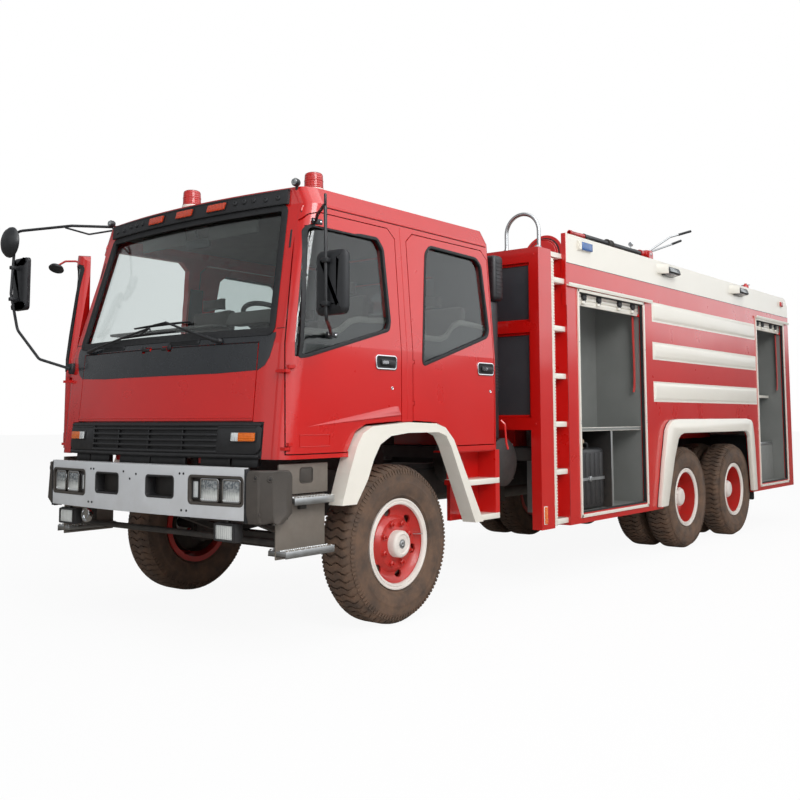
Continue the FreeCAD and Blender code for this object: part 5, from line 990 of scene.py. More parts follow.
# ---- doors: window seals, handles, pressings and linings
windowSet = {"front": [(-0.968, 1.704), (-0.900, 1.712), (-0.130, 1.922), (-0.108, 1.985), (-0.136, 2.478),
                       (-0.194, 2.550), (-0.802, 2.550), (-0.836, 2.520)],
             "rear": [(0.224, 1.702), (1.026, 1.950), (1.060, 2.006), (1.020, 2.508), (0.956, 2.566),
                      (0.376, 2.578), (0.311, 2.516), (0.206, 1.756)],
             "frontCard": [(-0.985, 1.896), (-0.640, 1.900), (-0.560, 1.925), (-0.470, 1.985),
                           (-0.390, 2.005), (-0.290, 2.005), (-0.100, 2.020)],
             "rearCard": [(0.200, 1.930), (0.480, 1.930), (0.560, 1.960), (0.650, 2.040), (0.730, 2.068),
                          (0.860, 2.066), (1.075, 2.050)]}
channelGrey = finish("grey_window_channel", {        # painted steel channel along the top of the door card
    "tone": "#8C8782", "shade": "#7C7874", "patchMm": 120, "rough": 0.45, "spread": 0.06,
    "grainMm": 3.0, "grain": 0.10, "shader": {"IOR": 1.5}})
rightDoorSwing = {"angle": 57, "hinge": (-1.174, -1.035, 0.0)}     # the right front door stands open


def handle(piece, y, z):
    # recessed pull: plated surround, dark bowl, lever and its shut face
    surround = hoop(box2(y, y + 0.215, z, z + 0.098), 0.012, -0.002, 0.007, "x", 0.026, 0)
    piece.take(soften(onSide(surround, 0.1), 0.002), chrome)
    bowl = board(box2(y + 0.008, y + 0.207, z + 0.008, z + 0.090), -0.004, 0.0015, "x", 0.0, 0.022)
    piece.take(onSide(bowl, 0.1), sealRubber)
    lever = board([(y + 0.050, z + 0.030), (y + 0.196, z + 0.030), (y + 0.196, z + 0.064),
                   (y + 0.050, z + 0.070)], 0.004, 0.014, "x", 0, 0.012)
    piece.take(soften(onSide(lever, 0.1), 0.004, 3), blackPlastic)
    face = board(box2(y + 0.058, y + 0.120, z + 0.040, z + 0.060), 0.0135, 0.0155, "x", 0, 0.006)
    piece.take(onSide(face, 0.1), chrome)
    lock = turn([(0, 0.012), (0.003, 0.011), (0.004, 0.008), (0.002, 0.006), (0.002, 0)],
                sideSkin(y + 0.170, z - 0.118), (1, 0, 0), 16)
    piece.take(lock, chrome)


def dressDoor(which, side, body):
    piece = Piece("door_" + which + "_" + side + "_trim", body, "black_plastic", flip=side == "right")
    piece.swing = rightDoorSwing if (which, side) == ("front", "right") else None
    window = windowSet[which]
    piece.take(soften(onSide(hoop(window, 0.021, -0.020, 0.0035, "x", 0.030, 0)), 0.002), sealRubber)
    inner = [(u * 0.97 + 0.03 * sum(p[0] for p in window) / len(window), v * 0.97 + 0.03 * 2.12)
              for u, v in window]
    piece.take(onSide(hoop(inner, 0.0045, -0.018, -0.013, "x", 0.028, 0)), aluminium)
    line = windowSet[which + "Card"]
    front, rear = line[0][0], line[-1][0]
    if which == "front":
        foot = [(front, 1.700), (-0.900, 1.700), (-0.122, 1.912), (rear, 1.960)]
    else:
        foot = [(front, 1.745), (0.216, 1.694), (1.034, 1.940), (rear, 1.985)]
    outline = foot + [(u, v - 0.004) for u, v in reversed(line)]
    piece.take(onSide(board(outline, -0.052, -0.040, "x", 0)), blackPlastic)
    stripe = [(u, v - 0.040) for u, v in line] + line[::-1]
    piece.take(soften(onSide(board(stripe, -0.056, -0.034, "x", 0)), 0.003), channelGrey)
    handle(piece, -0.282 if which == "front" else 0.872, 1.664)
    if which == "front":
        wedge = board([(-0.895, 1.300), (-0.032, 1.372), (-0.044, 1.388), (-0.048, 1.428), (-0.11, 1.424)],
                      0.0, 0.010, "x", 0)
        for vert in wedge.verts:
            if vert.co.x > 0.005:                             # the pressing swells towards its rear end
                vert.co.x = 0.001 + 0.013 * max(0.0, (vert.co.y + 0.895) / 0.87) ** 0.7 * (vert.co.z < 1.41)
        piece.take(soften(onSide(wedge), 0.0015), redEnamel)
        plate = hoop(box2(-0.962, -0.700, 1.180, 1.254), 0.005, -0.001, 0.003, "x", 0.008, 0)
        piece.take(soften(onSide(plate), 0.0012), redEnamel)
    cards = {"front": [(-0.900, 1.345), (-0.060, 1.345), (-0.060, 1.870), (-0.840, 1.660), (-0.900, 1.640)],
             "rear": [(0.190, 1.345), (0.960, 1.345), (1.020, 1.900), (0.240, 1.660), (0.190, 1.640)]}
    cardPlan = cards[which]
    piece.take(soften(onSide(board(cardPlan, -0.0585, -0.054, "x", 0, 0.02), 0.3), 0.0015), cabLining)
    rest = {"front": (-0.560, -0.160, 1.560), "rear": (0.420, 0.840, 1.560)}[which]
    arm = slab((-0.112, rest[0], rest[2]), (-0.056, rest[1], rest[2] + 0.060), 0.018, 4)
    piece.take(onSide(arm, 0.4), cabLining)
    piece.take(pipe([sideSkin(rest[0] + 0.05, rest[2] + 0.10, -0.058),
                     sideSkin(rest[0] + 0.05, rest[2] + 0.10, -0.090),
                     sideSkin(rest[1] - 0.05, rest[2] + 0.13, -0.090),
                     sideSkin(rest[1] - 0.05, rest[2] + 0.13, -0.058)], 0.009, 0.02), blackPlastic)
    winder = sideSkin(rest[0] - 0.12, 1.50, -0.060)
    piece.take(turn([(0, 0.030), (-0.012, 0.028), (-0.018, 0.018), (-0.018, 0)], winder, (1, 0, 0), 20),
               blackPlastic)
    knob = winder + Vector((-0.022, 0.085, 0.085))
    piece.take(pipe([winder + Vector((-0.016, 0, 0)), winder + Vector((-0.022, 0.05, 0.05)), knob], 0.007,
                    0.01), blackPlastic)
    piece.take(bar(knob, winder + Vector((-0.058, 0.085, 0.085)), 0.012), blackPlastic)
    piece.take(onSide(hoop(box2(cardPlan[0][0] + 0.06, cardPlan[1][0] - 0.06, 1.365, 1.490), 0.012, -0.070,
                           -0.056, "x", 0.03, 0.002), 0.3), cabLining)
    piece.build()


for which, side, body in (("front", "left", "front_left_door"), ("front", "right", "front_right_door"),
                          ("rear", "left", "rear_left_door"), ("rear", "right", "rear_right_door")):
    dressDoor(which, side, body)
print("doors made")


# ---- mirrors
def mirrorHead(piece, low, high, front, back, corner):
    # moulded shell, crowned on its forward side, with the glass let into the other
    part = board(box2(low[0], high[0], low[1], high[1]), back - 0.004, front + 0.020, "y", 0, corner, 6)
    faces = [face for face in part.faces
             if len(face.verts) > 8 and abs(face.calc_center_median().y - front - 0.020) < 1e-4]
    for inset, rise in ((0.010, -0.010), (0.022, -0.006), (0.030, -0.003)):
        bmesh.ops.inset_individual(part, faces=faces, thickness=inset)
        bmesh.ops.translate(part, vec=(0, rise, 0),
                            verts=list({vert for face in faces for vert in face.verts}))
    piece.take(part, blackPlastic)
    piece.take(hoop(box2(low[0] - 0.001, high[0] + 0.001, low[1] - 0.001, high[1] + 0.001), 0.009,
                    back - 0.008, back, "y", corner, 0.002), sealRubber)
    piece.take(board(box2(low[0] + 0.007, high[0] - 0.007, low[1] + 0.007, high[1] - 0.007), back - 0.005,
                     back - 0.001, "y", 0.0, corner * 0.8), mirrorGlass)


mirror = Piece("left_mirror_dressed", "front_left_door", "mirror_black", "left_mirror")
mirror.take(pipe([(1.112, -0.760, 2.566), (1.300, -0.930, 2.560), (1.552, -1.126, 2.552),
                  (1.556, -1.126, 2.300), (1.560, -1.124, 1.900), (1.430, -0.960, 1.872),
                  (1.183, -0.690, 1.862)], 0.010, 0.035), blackPlastic)
mirror.take(bar((1.552, -1.126, 2.545), (1.552, -1.126, 2.610), 0.008), blackPlastic)
for y, z in ((-0.762, 2.566), (-0.690, 1.862)):
    spot = sideSkin(y, z, 0.0)
    mirror.take(slab(spot + Vector((-0.002, -0.045, -0.018)), spot + Vector((0.012, 0.045, 0.018)), 0.005),
                blackPlastic)
    for shift in (-0.030, 0.030):
        mirror.take(screw(spot + Vector((0.011, shift, 0)), (1, 0, 0), 0.007, 0.005), chrome)
for z in (2.230, 1.985):
    mirror.take(slab((1.536, -1.142, z - 0.014), (1.580, -1.100, z + 0.014), 0.005), blackPlastic)
mirrorHead(mirror, (1.452, 1.926), (1.6825, 2.290), -1.112, -1.066, 0.040)
mirror.build()

mirror = Piece("right_mirror_dressed", "cab", "mirror_black", "right_mirror")
mirror.take(pipe([(-0.985, -0.680, 2.818), (-1.260, -0.980, 2.820), (-1.600, -1.240, 2.780),
                  (-1.608, -1.258, 2.300), (-1.604, -1.200, 2.030), (-1.300, -1.190, 1.795),
                  (-1.105, -1.058, 1.722)], 0.0105, 0.06), blackPlastic)
mirror.take(pipe([(-1.040, -0.760, 2.790), (-1.150, -0.900, 2.752), (-1.300, -1.008, 2.806)], 0.007, 0.03),
            blackPlastic)
mirror.take(slab((-1.035, -0.745, 2.786), (-0.965, -0.665, 2.800), 0.004), blackPlastic)
mirror.take(slab((-1.015, -0.725, 2.798), (-0.985, -0.675, 2.832), 0.006), blackPlastic)
for x in (-1.025, -0.975):
    mirror.take(nut((x, -0.705, 2.799), (0, 0, 1), 0.014, 0.008, 0.004), chrome)
foot = frontSkin(-1.100, 1.722, 0.0)
mirror.take(slab(foot + Vector((-0.028, -0.030, -0.040)), foot + Vector((0.022, 0.012, 0.040)), 0.008),
            blackPlastic)
mirrorHead(mirror, (-1.700, 2.180), (-1.500, 2.580), -1.210, -1.164, 0.030)
for z in (2.500, 2.260):
    mirror.take(slab((-1.622, -1.272, z - 0.014), (-1.590, -1.200, z + 0.014), 0.005), blackPlastic)
dome = [(-0.055, 0.0), (-0.052, 0.040), (-0.044, 0.075), (-0.030, 0.100), (-0.012, 0.115), (0.0, 0.118),
        (0.004, 0.115), (0.004, 0.108)]
mirror.take(turn(dome, (-1.600, -1.275, 2.690), (0, 1, 0), 40), blackPlastic)
mirror.take(turn([(0.003, 0.110), (-0.004, 0.060), (-0.006, 0.0)], (-1.600, -1.275, 2.690), (0, 1, 0), 40),
            mirrorGlass)
mirror.take(slab((-1.614, -1.292, 2.676), (-1.588, -1.232, 2.704), 0.006), blackPlastic)
mirror.build()

kerb = Piece("kerb_mirror", "front_right_door", "mirror_black", flip=True)
kerb.take(pipe([(1.112, -0.450, 2.610), (1.150, -0.448, 2.626), (1.230, -0.444, 2.622),
                (1.286, -0.440, 2.585)], 0.008, 0.03), redEnamel)
kerb.take(slab((1.104, -0.480, 2.590), (1.124, -0.420, 2.624), 0.004), blackPlastic)
head = turn([(0, 0), (0.004, 0.034), (0.014, 0.052), (0.030, 0.060), (0.036, 0.058), (0.032, 0.052),
             (0.032, 0.0)], (1.290, -0.440, 2.584), (0.25, -0.45, -1), 28)
kerb.take(head, blackPlastic)
kerb.swing = rightDoorSwing
kerb.build()
print("mirrors made")


# ---- cab roof: beacons, markers, corner lamps, gutters
roof = Piece("roof_lamps", "cab", "lamp_lens", "cab_lamps")
for x, y in ((0.900, -0.560), (-0.100, -0.760)):
    foot = [(0, 0.0), (0, 0.074), (0.010, 0.074), (0.016, 0.070), (0.034, 0.068), (0.042, 0.066),
            (0.042, 0.060)]
    roof.take(turn(foot, (x, y, 2.801), (0, 0, 1), 40), creamEnamel)
    lens = [(0.042, 0.0635), (0.050, 0.064), (0.052, 0.0625), (0.090, 0.0615), (0.092, 0.063), (0.096, 0.063),
            (0.098, 0.0610), (0.132, 0.0595), (0.142, 0.055), (0.148, 0.045), (0.150, 0.0)]
    roof.take(turn(lens, (x, y, 2.801), (0, 0, 1), 40), redLens)
    for across, along in around(3):
        roof.take(screw((x + 0.070 * across, y + 0.070 * along, 2.812), (0, 0, 1), 0.004, 0.003), chrome)
for x in (-0.310, 0.012, 0.334):
    lens = board([(x - 0.092, 2.722), (x + 0.072, 2.722), (x + 0.092, 2.766), (x - 0.072, 2.766)], -0.030,
                 -0.014, "y", 0, 0.006)
    roof.take(soften(onFront(lens, 0.04), 0.003), orangeLens)
    roof.take(soften(onFront(hoop([(x - 0.100, 2.716), (x + 0.075, 2.716), (x + 0.100, 2.772),
                                   (x - 0.075, 2.772)], 0.007, -0.021, -0.012, "y", 0.006, 0), 0.04), 0.0015),
              blackPlastic)
for side in (1, -1):
    base = Vector((side * 0.985, -0.795, 2.783))
    roof.take(pipe([base, base + Vector((side * 0.006, -0.006, 0.030))], 0.010), blackPlastic)
    roof.take(turn([(0, 0.006), (0.006, 0.020), (0.018, 0.026), (0.040, 0.026), (0.046, 0.022), (0.046, 0.0)],
                   base + Vector((side * 0.004, 0.012, 0.040)), (side * 0.1, -1, 0.1), 24), blackPlastic)
    roof.take(turn([(0.044, 0.023), (0.052, 0.018), (0.055, 0.0)],
                   base + Vector((side * 0.004, 0.012, 0.040)), (side * 0.1, -1, 0.1), 24), headLens)
roof.build()

cabSide = Piece("cab_side_trim", "cab", "red_paint")
gutter = [(-0.900, 2.630), (-0.820, 2.662), (-0.700, 2.668), (0.300, 2.668), (1.092, 2.664)]
cabSide.take(pipe([sideSkin(y, z + 0.006, 0.000) for y, z in gutter], 0.006, 0.02), redEnamel, both=True)
cabSide.take(pipe([sideSkin(y, z, 0.0005) for y, z in gutter], 0.0028, 0.02), sealRubber, both=True)
# pressed seam of the pillar between the doors
cabSide.take(pipe([sideSkin(0.047, z) for z in (1.34, 1.80, 2.20, 2.655)], 0.0022), redEnamel, both=True)
slot = board([(1.004, 2.400), (1.018, 2.400), (1.004, 2.520), (0.990, 2.520)], -0.002, 0.006, "y", 0, 0.006)
cabSide.take(soften(onFront(slot), 0.002), blackPlastic, both=True)
cabSide.take(pipe([frontSkin(x, 1.890, 0.0005) for x in (1.040, 1.058, 1.078, 1.100)], 0.0022), sealRubber,
             both=True)
cabSide.take(slab((1.000, 0.58, 1.100), (1.176, 1.150, 1.112), 0.003), redEnamel, both=True)
for front, z in ((0.712, 0.896), (0.866, 0.634)):
    cabSide.take(slab((1.002, front, z - 0.004), (1.186, 1.150, z + 0.004), 0.003), creamEnamel, both=True)
    cabSide.take(slab((1.176, front, z - 0.038), (1.192, 1.154, z + 0.004), 0.003), creamEnamel, both=True)
cabSide.take(pipe([(1.196, 1.175, 1.330), (1.220, 1.190, 1.300), (1.226, 1.200, 1.160),
                   (1.235, 1.210, 1.110)], 0.008, 0.03), redEnamel)
cabSide.build()
print("cab roof and sides made")


# ---- inside the cab
def cushion(low, high, crown, pull=0.012):
    # a padded block: crowned face, sides drawn in between its corners
    part = bmesh.new()
    bmesh.ops.create_cube(part, size=2.0)
    bmesh.ops.subdivide_edges(part, edges=part.edges[:], cuts=7, use_grid_fill=True)
    half = [(h - l) / 2 for l, h in zip(low, high)]
    middle = [(h + l) / 2 for l, h in zip(low, high)]
    thin = half.index(min(half))
    for vert in part.verts:
        u = list(vert.co)
        others = [index for index in range(3) if index != thin]
        a, b = u[others[0]], u[others[1]]
        fullness = (1 - a ** 4) * (1 - b ** 4)
        edge = max(abs(a), abs(b))
        spot = [u[index] * half[index] for index in range(3)]
        spot[thin] += (crown * fullness -
                       crown) * (1 if u[thin] > 0 else -1) - u[thin] * 0.010 * (edge > 0.99)
        for index, other in ((others[0], b), (others[1], a)):
            if abs(u[index]) > 0.99:
                spot[index] -= pull * (1 - other * other) * (1 if u[index] > 0 else -1)
        vert.co = Vector([spot[index] + middle[index] for index in range(3)])
    return part


def seatPiece(name, low, high, crown):
    piece = Piece(name, "cab", "seat_fabric")
    piece.take(cushion(low, high, crown), seatCloth)
    data = piece.build(60)
    data.modifiers.new("rounding", "SUBSURF").levels = 1
    data.modifiers["rounding"].render_levels = 1


floorTop = 1.298
frameSeats = Piece("seat_frames", "cab", "black_plastic", "seats")
for index, (x, y, wide) in enumerate(((0.690, -0.560, 0.230), (-0.690, -0.560, 0.230), (0.0, 0.420, 1.040))):
    count = 1 if wide < 0.5 else 3
    each = wide / count
    for number in range(count):
        middle = x - wide + each * (2 * number + 1)
        seatPiece("seat_cushion_%d_%d" % (index, number),
                  (middle - each + 0.004, y + 0.004, floorTop + 0.302),
                  (middle + each - 0.004, y + 0.496, floorTop + 0.428), 0.016)
        seatPiece("seat_back_%d_%d" % (index, number), (middle - each + 0.006, y + 0.442, floorTop + 0.432),
                  (middle + each - 0.006, y + 0.558, floorTop + 0.900), 0.016)
        seatPiece("seat_headrest_%d_%d" % (index, number), (middle - 0.120, y + 0.455, floorTop + 0.905),
                  (middle + 0.120, y + 0.545, floorTop + 0.999), 0.014)
    frameSeats.take(slab((x - wide + 0.02, y + 0.01, floorTop + 0.26),
                         (x + wide - 0.02, y + 0.47, floorTop + 0.302), 0.008), blackPlastic)
    for foot in {x - wide + 0.110, x + wide - 0.110}:
        frameSeats.take(slab((foot - 0.098, y + 0.01, floorTop + 0.001),
                             (foot + 0.098, y + 0.45, floorTop + 0.265), 0.02, 3), blackPlastic)
frameSeats.build()

cabin = Piece("cabin_lining", "cab", "dark_plastic")
cabin.take(slab((-0.40, -0.74, 1.513), (0.40, 0.94, 1.520), 0.004), cabLining)
cabin.take(slab((-0.95, -0.70, 2.700), (0.95, 1.05, 2.712), 0.004), cabLining)
cabin.take(slab((-0.90, -0.865, 1.955), (0.28, -0.745, 1.975), 0.010), cabLining)
rearWall = board([(-1.09, 1.300), (1.09, 1.300), (1.06, 2.690), (-1.06, 2.690)], 1.084, 1.092, "y", 0)
cabin.take(carve(rearWall, [board(box2(-0.625, 0.625, 1.995, 2.485), 1.0, 1.2, "y", 0, 0.05)]), darkPanel)
cabin.take(slab((-1.02, -0.62, 2.745), (1.02, 1.09, 2.750), 0), darkPanel)
post = board(box2(0.010, 0.150, 1.300, 2.640), -0.056, -0.044, "x", 0)     # inner trim of the door pillar
cabin.take(onSide(post), darkPanel, both=True)
hood = board([(0.40, 1.955), (0.98, 1.955), (0.94, 2.035), (0.44, 2.035)], -0.865, -0.745, "y", 0.012, 0.02)
cabin.take(hood, cabLining)
for x, radius in ((0.560, 0.048), (0.690, 0.055), (0.820, 0.048)):
    cabin.take(turn([(0, 0), (0, radius), (0.006, radius), (0.008, radius - 0.006), (0.004, radius - 0.010),
                     (0.004, 0)], (x, -0.744, 1.995), (0, 1, 0), 28), blackPlastic)
for x in (-0.62, -0.40, 0.10, 0.24):
    cabin.take(slab((x - 0.07, -0.742, 1.900), (x + 0.07, -0.722, 1.945), 0.006), blackPlastic)
cabin.take(pipe([(0.24, -0.45, 1.52), (0.24, -0.40, 1.72), (0.24, -0.42, 1.80)], 0.010, 0.03), blackPlastic)
cabin.take(turn([(0, 0), (0.004, 0.016), (0.020, 0.024), (0.040, 0.020), (0.048, 0)], (0.24, -0.42, 1.795),
                (0, -0.1, 1), 20), blackPlastic)
for side in (1, -1):                                            # folded sun visors below the header
    cabin.take(slab((side * 0.12, -0.790, 2.560), (side * 0.62, -0.770, 2.690), 0.008), cabLining)
cabin.take(pipe([(0.0, -0.80, 2.650), (0.0, -0.78, 2.600)], 0.008), blackPlastic)
cabin.take(slab((-0.13, -0.785, 2.520), (0.13, -0.765, 2.590), 0.012, 3), blackPlastic)
cabin.build()
print("cab inside made")


# ---- tank body: stripes, gutters, locker frames, seams
stripeSet = {"y": (3.810, 6.770), "levels": ((2.290, 2.484), (1.915, 2.090), (1.500, 1.700)), "slope": 0.024}
lockerSet = {"one": (2.330, 3.600, 2.440), "two": (6.822, 7.850, 2.550)}


def emboss(y0, y1, z0, z1, x0, rise, slope):
    # a pressed panel with sloping sides
    part = slab((x0, y0, z0), (x0 + rise, y1, z1), 0)
    for vert in part.verts:
        if vert.co.x > x0 + rise / 2:
            vert.co.y += slope if vert.co.y < (y0 + y1) / 2 else -slope
            vert.co.z += slope if vert.co.z < (z0 + z1) / 2 else -slope
    return soften(part, 0.003)


sides = Piece("body_side_trim", "chassis", "white_paint")
y0, y1 = stripeSet["y"]
for z0, z1 in stripeSet["levels"]:
    sides.take(slab((1.2485, y0, z0), (1.2520, y1, z1), 0.001, 1), creamEnamel, both=True)
    sides.take(emboss(y0 + 0.014, y1 - 0.014, z0 + 0.014, z1 - 0.014, 1.2510, 0.013, stripeSet["slope"]),
               creamEnamel, both=True)
for start, end in ((2.124, 3.780), (6.790, 8.040)):
    gutter = [(1.249, 2.470), (1.2760, 2.462), (1.2790, 2.478), (1.2790, 2.494), (1.2760, 2.494),
              (1.2740, 2.478), (1.249, 2.484)]
    lift = 0.0 if start < 4 else 0.104
    sides.take(board([(x, z + lift) for x, z in gutter], start, end, "y", 0), creamEnamel, both=True)
for front, rear, top in lockerSet.values():
    sides.take(hoop(box2(front - 0.028, rear + 0.028, 0.502, top + 0.020), 0.026, 1.2492, 1.2615, "x", 0.004,
                    0.0025), creamEnamel, both=True)
    sides.take(hoop(box2(front + 0.0005, rear - 0.0005, 0.5405, top - 0.0005), 0.013, 1.224, 1.2495, "x",
                    0.002, 0.0), sealRubber, both=True)
sides.take(slab((1.2490, 2.124, 2.6645), (1.2506, 8.078, 2.6695), 0), sealRubber, both=True)
sides.take(slab((1.2490, 2.1235, 0.460), (1.2506, 2.1265, 2.664), 0), sealRubber, both=True)
sides.take(pipe([(1.244, 2.128, 2.916), (1.244, 7.968, 2.916), (1.244, 8.074, 2.829)], 0.0060, 0.02),
           creamEnamel, both=True)
sides.take(slab((1.2080, 2.1160, 2.300), (1.2515, 2.1260, 2.9200), 0.002, 1), redEnamel, both=True)
sides.take(slab((1.1960, 2.334, 1.230), (1.2095, 3.596, 1.262), 0.003), creamEnamel, both=True)
sides.take(slab((1.2000, 2.966, 0.545), (1.2095, 2.998, 1.229), 0.003), aluminium, both=True)
sides.take(slab((1.0340, 6.828, 1.595), (1.0430, 7.844, 1.629), 0.003), creamEnamel, both=True)
sides.take(slab((1.0600, 6.828, 0.986), (1.0720, 7.844, 1.026), 0.003), aluminium, both=True)
for z in (0.62, 1.30):                                       # corner screws of the frames
    for front, rear, top in lockerSet.values():
        for y in (front - 0.015, rear + 0.015):
            for shift in (0.0, 0.70):
                if z + shift < top:
                    sides.take(screw((1.2615, y, z + shift), (1, 0, 0), 0.006, 0.003), aluminium, both=True)
sides.build()

fender = Piece("fender_trims_dressed", "chassis", "white_paint", "fender_trims")
arch = [(3.820, 0.480), (3.930, 0.920), (4.020, 1.218), (4.066, 1.272), (4.150, 1.318), (4.300, 1.330),
        (6.262, 1.330), (6.400, 1.316), (6.466, 1.282), (6.500, 1.160), (6.522, 0.970), (6.562, 0.480),
        (6.436, 0.480), (6.362, 1.114), (6.330, 1.160), (6.250, 1.185), (4.424, 1.185), (4.340, 1.168),
        (4.278, 1.130), (4.177, 0.950), (3.985, 0.480)]
fender.take(board(arch, 1.2495, 1.2995, "x", 0.011), creamEnamel, both=True)
fender.take(board([(y, z) for y, z in arch[:12]] +
                  [(y - 0.016 if y > 5 else y + 0.016, z - 0.014 if z > 1 else z)
                    for y, z in reversed(arch[:12])], 1.2490, 1.2560, "x", 0), sealRubber, both=True)
fender.build()
print("body sides trimmed")


# ---- roller shutters, wound up at the lockers and closed at the rear
shutterSet = {"pitch": 0.036, "one": (2.500, 2.780, 3.190, 3.470), "two": (7.000, 7.190, 7.500, 7.690)}
shutter = Piece("shutters_dressed", "chassis", "white_paint", "shutters")
for label, (front, rear, top) in lockerSet.items():
    shutter.take(slab((1.178, front + 0.004, top - 0.102), (1.196, rear - 0.004, top + 0.048), 0.004),
                 creamEnamel, both=True)
    for index in range(4):
        z = top - 0.098 + index * shutterSet["pitch"]
        shutter.take(slab((1.190, front + 0.003, z), (1.2035, rear - 0.003, z + 0.033), 0.006, 3),
                     creamEnamel, both=True)
    shutter.take(pipe([(1.198, front + 0.006, top - 0.104), (1.198, rear - 0.006, top - 0.104)], 0.010),
                 creamEnamel, both=True)
    for y in shutterSet[label]:
        shutter.take(slab((1.198, y - 0.036, top - 0.056), (1.222, y + 0.036, top - 0.001), 0.007, 3),
                     blackPlastic, both=True)
        shutter.take(slab((1.200, y - 0.010, top - 0.080), (1.216, y + 0.034, top - 0.052), 0.005),
                     blackPlastic, both=True)
        shutter.take(slab((1.204, y - 0.050, top - 0.096), (1.226, y + 0.004, top - 0.070), 0.003),
                     creamEnamel, both=True)
    for y in (front + 0.016, rear - 0.016):
        shutter.take(slab((1.190, y - 0.012, top - 0.122), (1.222, y + 0.012, top - 0.094), 0.004), redEnamel,
                     both=True)
    shutter.take(turn([(0, 0), (0, 0.056), (rear - front - 0.004, 0.056), (rear - front - 0.004, 0)],
                      (1.140, front + 0.002, top + 0.010), (0, 1, 0), 12), aluminium, both=True, smooth=False)
for index in range(39):
    z = 0.762 + index * 0.0433
    slat = [(8.0590, z), (8.0700, z + 0.003), (8.0725, z + 0.014), (8.0725, z + 0.029), (8.0700, z + 0.040),
            (8.0590, z + 0.042)]
    shutter.take(board(slat, -0.856, 0.856, "x", 0), aluminium)
shutter.take(slab((-0.856, 8.062, 0.764), (0.856, 8.078, 0.848), 0.005), aluminium)
for x in (-0.30, 0.30):
    shutter.take(slab((x - 0.075, 8.076, 0.780), (x + 0.075, 8.094, 0.826), 0.007, 3), blackPlastic)
shutter.build()

webbing = finish("red_polyester_webbing", {    # woven pull straps of the shutters, with a coarse twill
    "tone": "#C22A20", "shade": "#A51D17", "patchMm": 12, "rough": 0.74, "spread": 0.08,
    "grainMm": 5.0, "grain": 0.45, "shader": {"Sheen Weight": 0.3, "Sheen Roughness": 0.4}})
straps = Piece("shutter_straps", "chassis", "red_paint")
for lead, top in ((3.532, 2.335), (7.790, 2.440)):
    fall = [(0.000, 0.0), (0.004, -0.20), (0.012, -0.42), (0.012, -0.60), (0.004, -0.70), (-0.014, -0.745)]
    spots = [(lead + y, top + z) for y, z in fall]
    outline = spots + [(y + 0.044, z + 0.010 * (index == 0))
                       for index, (y, z) in reversed(list(enumerate(spots)))]
    straps.take(board(outline, 1.166, 1.170, "x", 0.001), webbing, both=True)
    straps.take(slab((1.160, lead - 0.004, top - 0.012), (1.178, lead + 0.050, top + 0.020), 0.004),
                blackPlastic, both=True)
straps.build()
print("shutters made")


# ---- body front, columns, ladders and grab rails
nose = Piece("body_front_panels", "chassis", "dark_plastic")
for low, high in ((1.350, 2.044), (2.130, 2.620)):
    nose.take(board(box2(-1.157, 1.157, low + 0.004, high - 0.004), 1.6990, 1.7046, "y", 0.002), darkPanel)
    nose.take(hoop(box2(-1.1595, 1.1595, low + 0.001, high - 0.001), 0.020, 1.6920, 1.7040, "y", 0.004,
                   0.002), redEnamel)
    for x in (-0.385, 0.385):                                 # pressed stiffening channels
        nose.take(slab((x - 0.016, 1.6930, low + 0.022), (x + 0.016, 1.7000, high - 0.022), 0.005), darkPanel)
for x in (-1.205, -0.62, 0.0, 0.62, 1.205):
    nose.take(screw((x, 1.6700, 2.680), (0, -1, 0), 0.008, 0.004), redEnamel)
    nose.take(screw((x, 1.6700, 1.300), (0, -1, 0), 0.008, 0.004), redEnamel)
nose.build()

climb = Piece("ladders_dressed", "chassis", "white_paint", "ladders")
climb.take(slab((1.142, 1.874, 0.468), (1.236, 1.938, 2.678), 0.004), creamEnamel, both=True)
for index in range(88):
    z = 0.486 + index * 0.0248
    climb.take(slab((1.230, 1.878, z), (1.2410, 1.934, z + 0.013), 0), creamEnamel, both=True)
for z in (0.478, 0.880, 1.272, 1.672, 2.072, 2.480):
    climb.take(slab((1.142, 1.920, z), (1.234, 2.1215, z + 0.044), 0.005), creamEnamel, both=True)
    for x in (1.156, 1.176, 1.196, 1.216):
        climb.take(slab((x - 0.004, 1.930, z + 0.042), (x + 0.004, 2.112, z + 0.0465), 0), stepPlate,
                   both=True)
bow = [(1.071 - 0.157 * cos(pi * i / 20), 1.722, 2.879 + 0.157 * sin(pi * i / 20)) for i in range(21)]
hoopLine = [(0.914, 1.722, 2.740)] + bow + [(1.228, 1.722, 2.740)]
climb.take(pipe(hoopLine, 0.016, sides=4), aluminium, both=True)
for x in (0.914, 1.214):
    climb.take(turn([(0, 0), (0, 0.034), (0.006, 0.034), (0.008, 0.022), (0.018, 0.019), (0.018, 0)],
                    (x, 1.722, 2.740), (0, 0, 1), 24), aluminium, both=True)
climb.build()
print("ladders made")


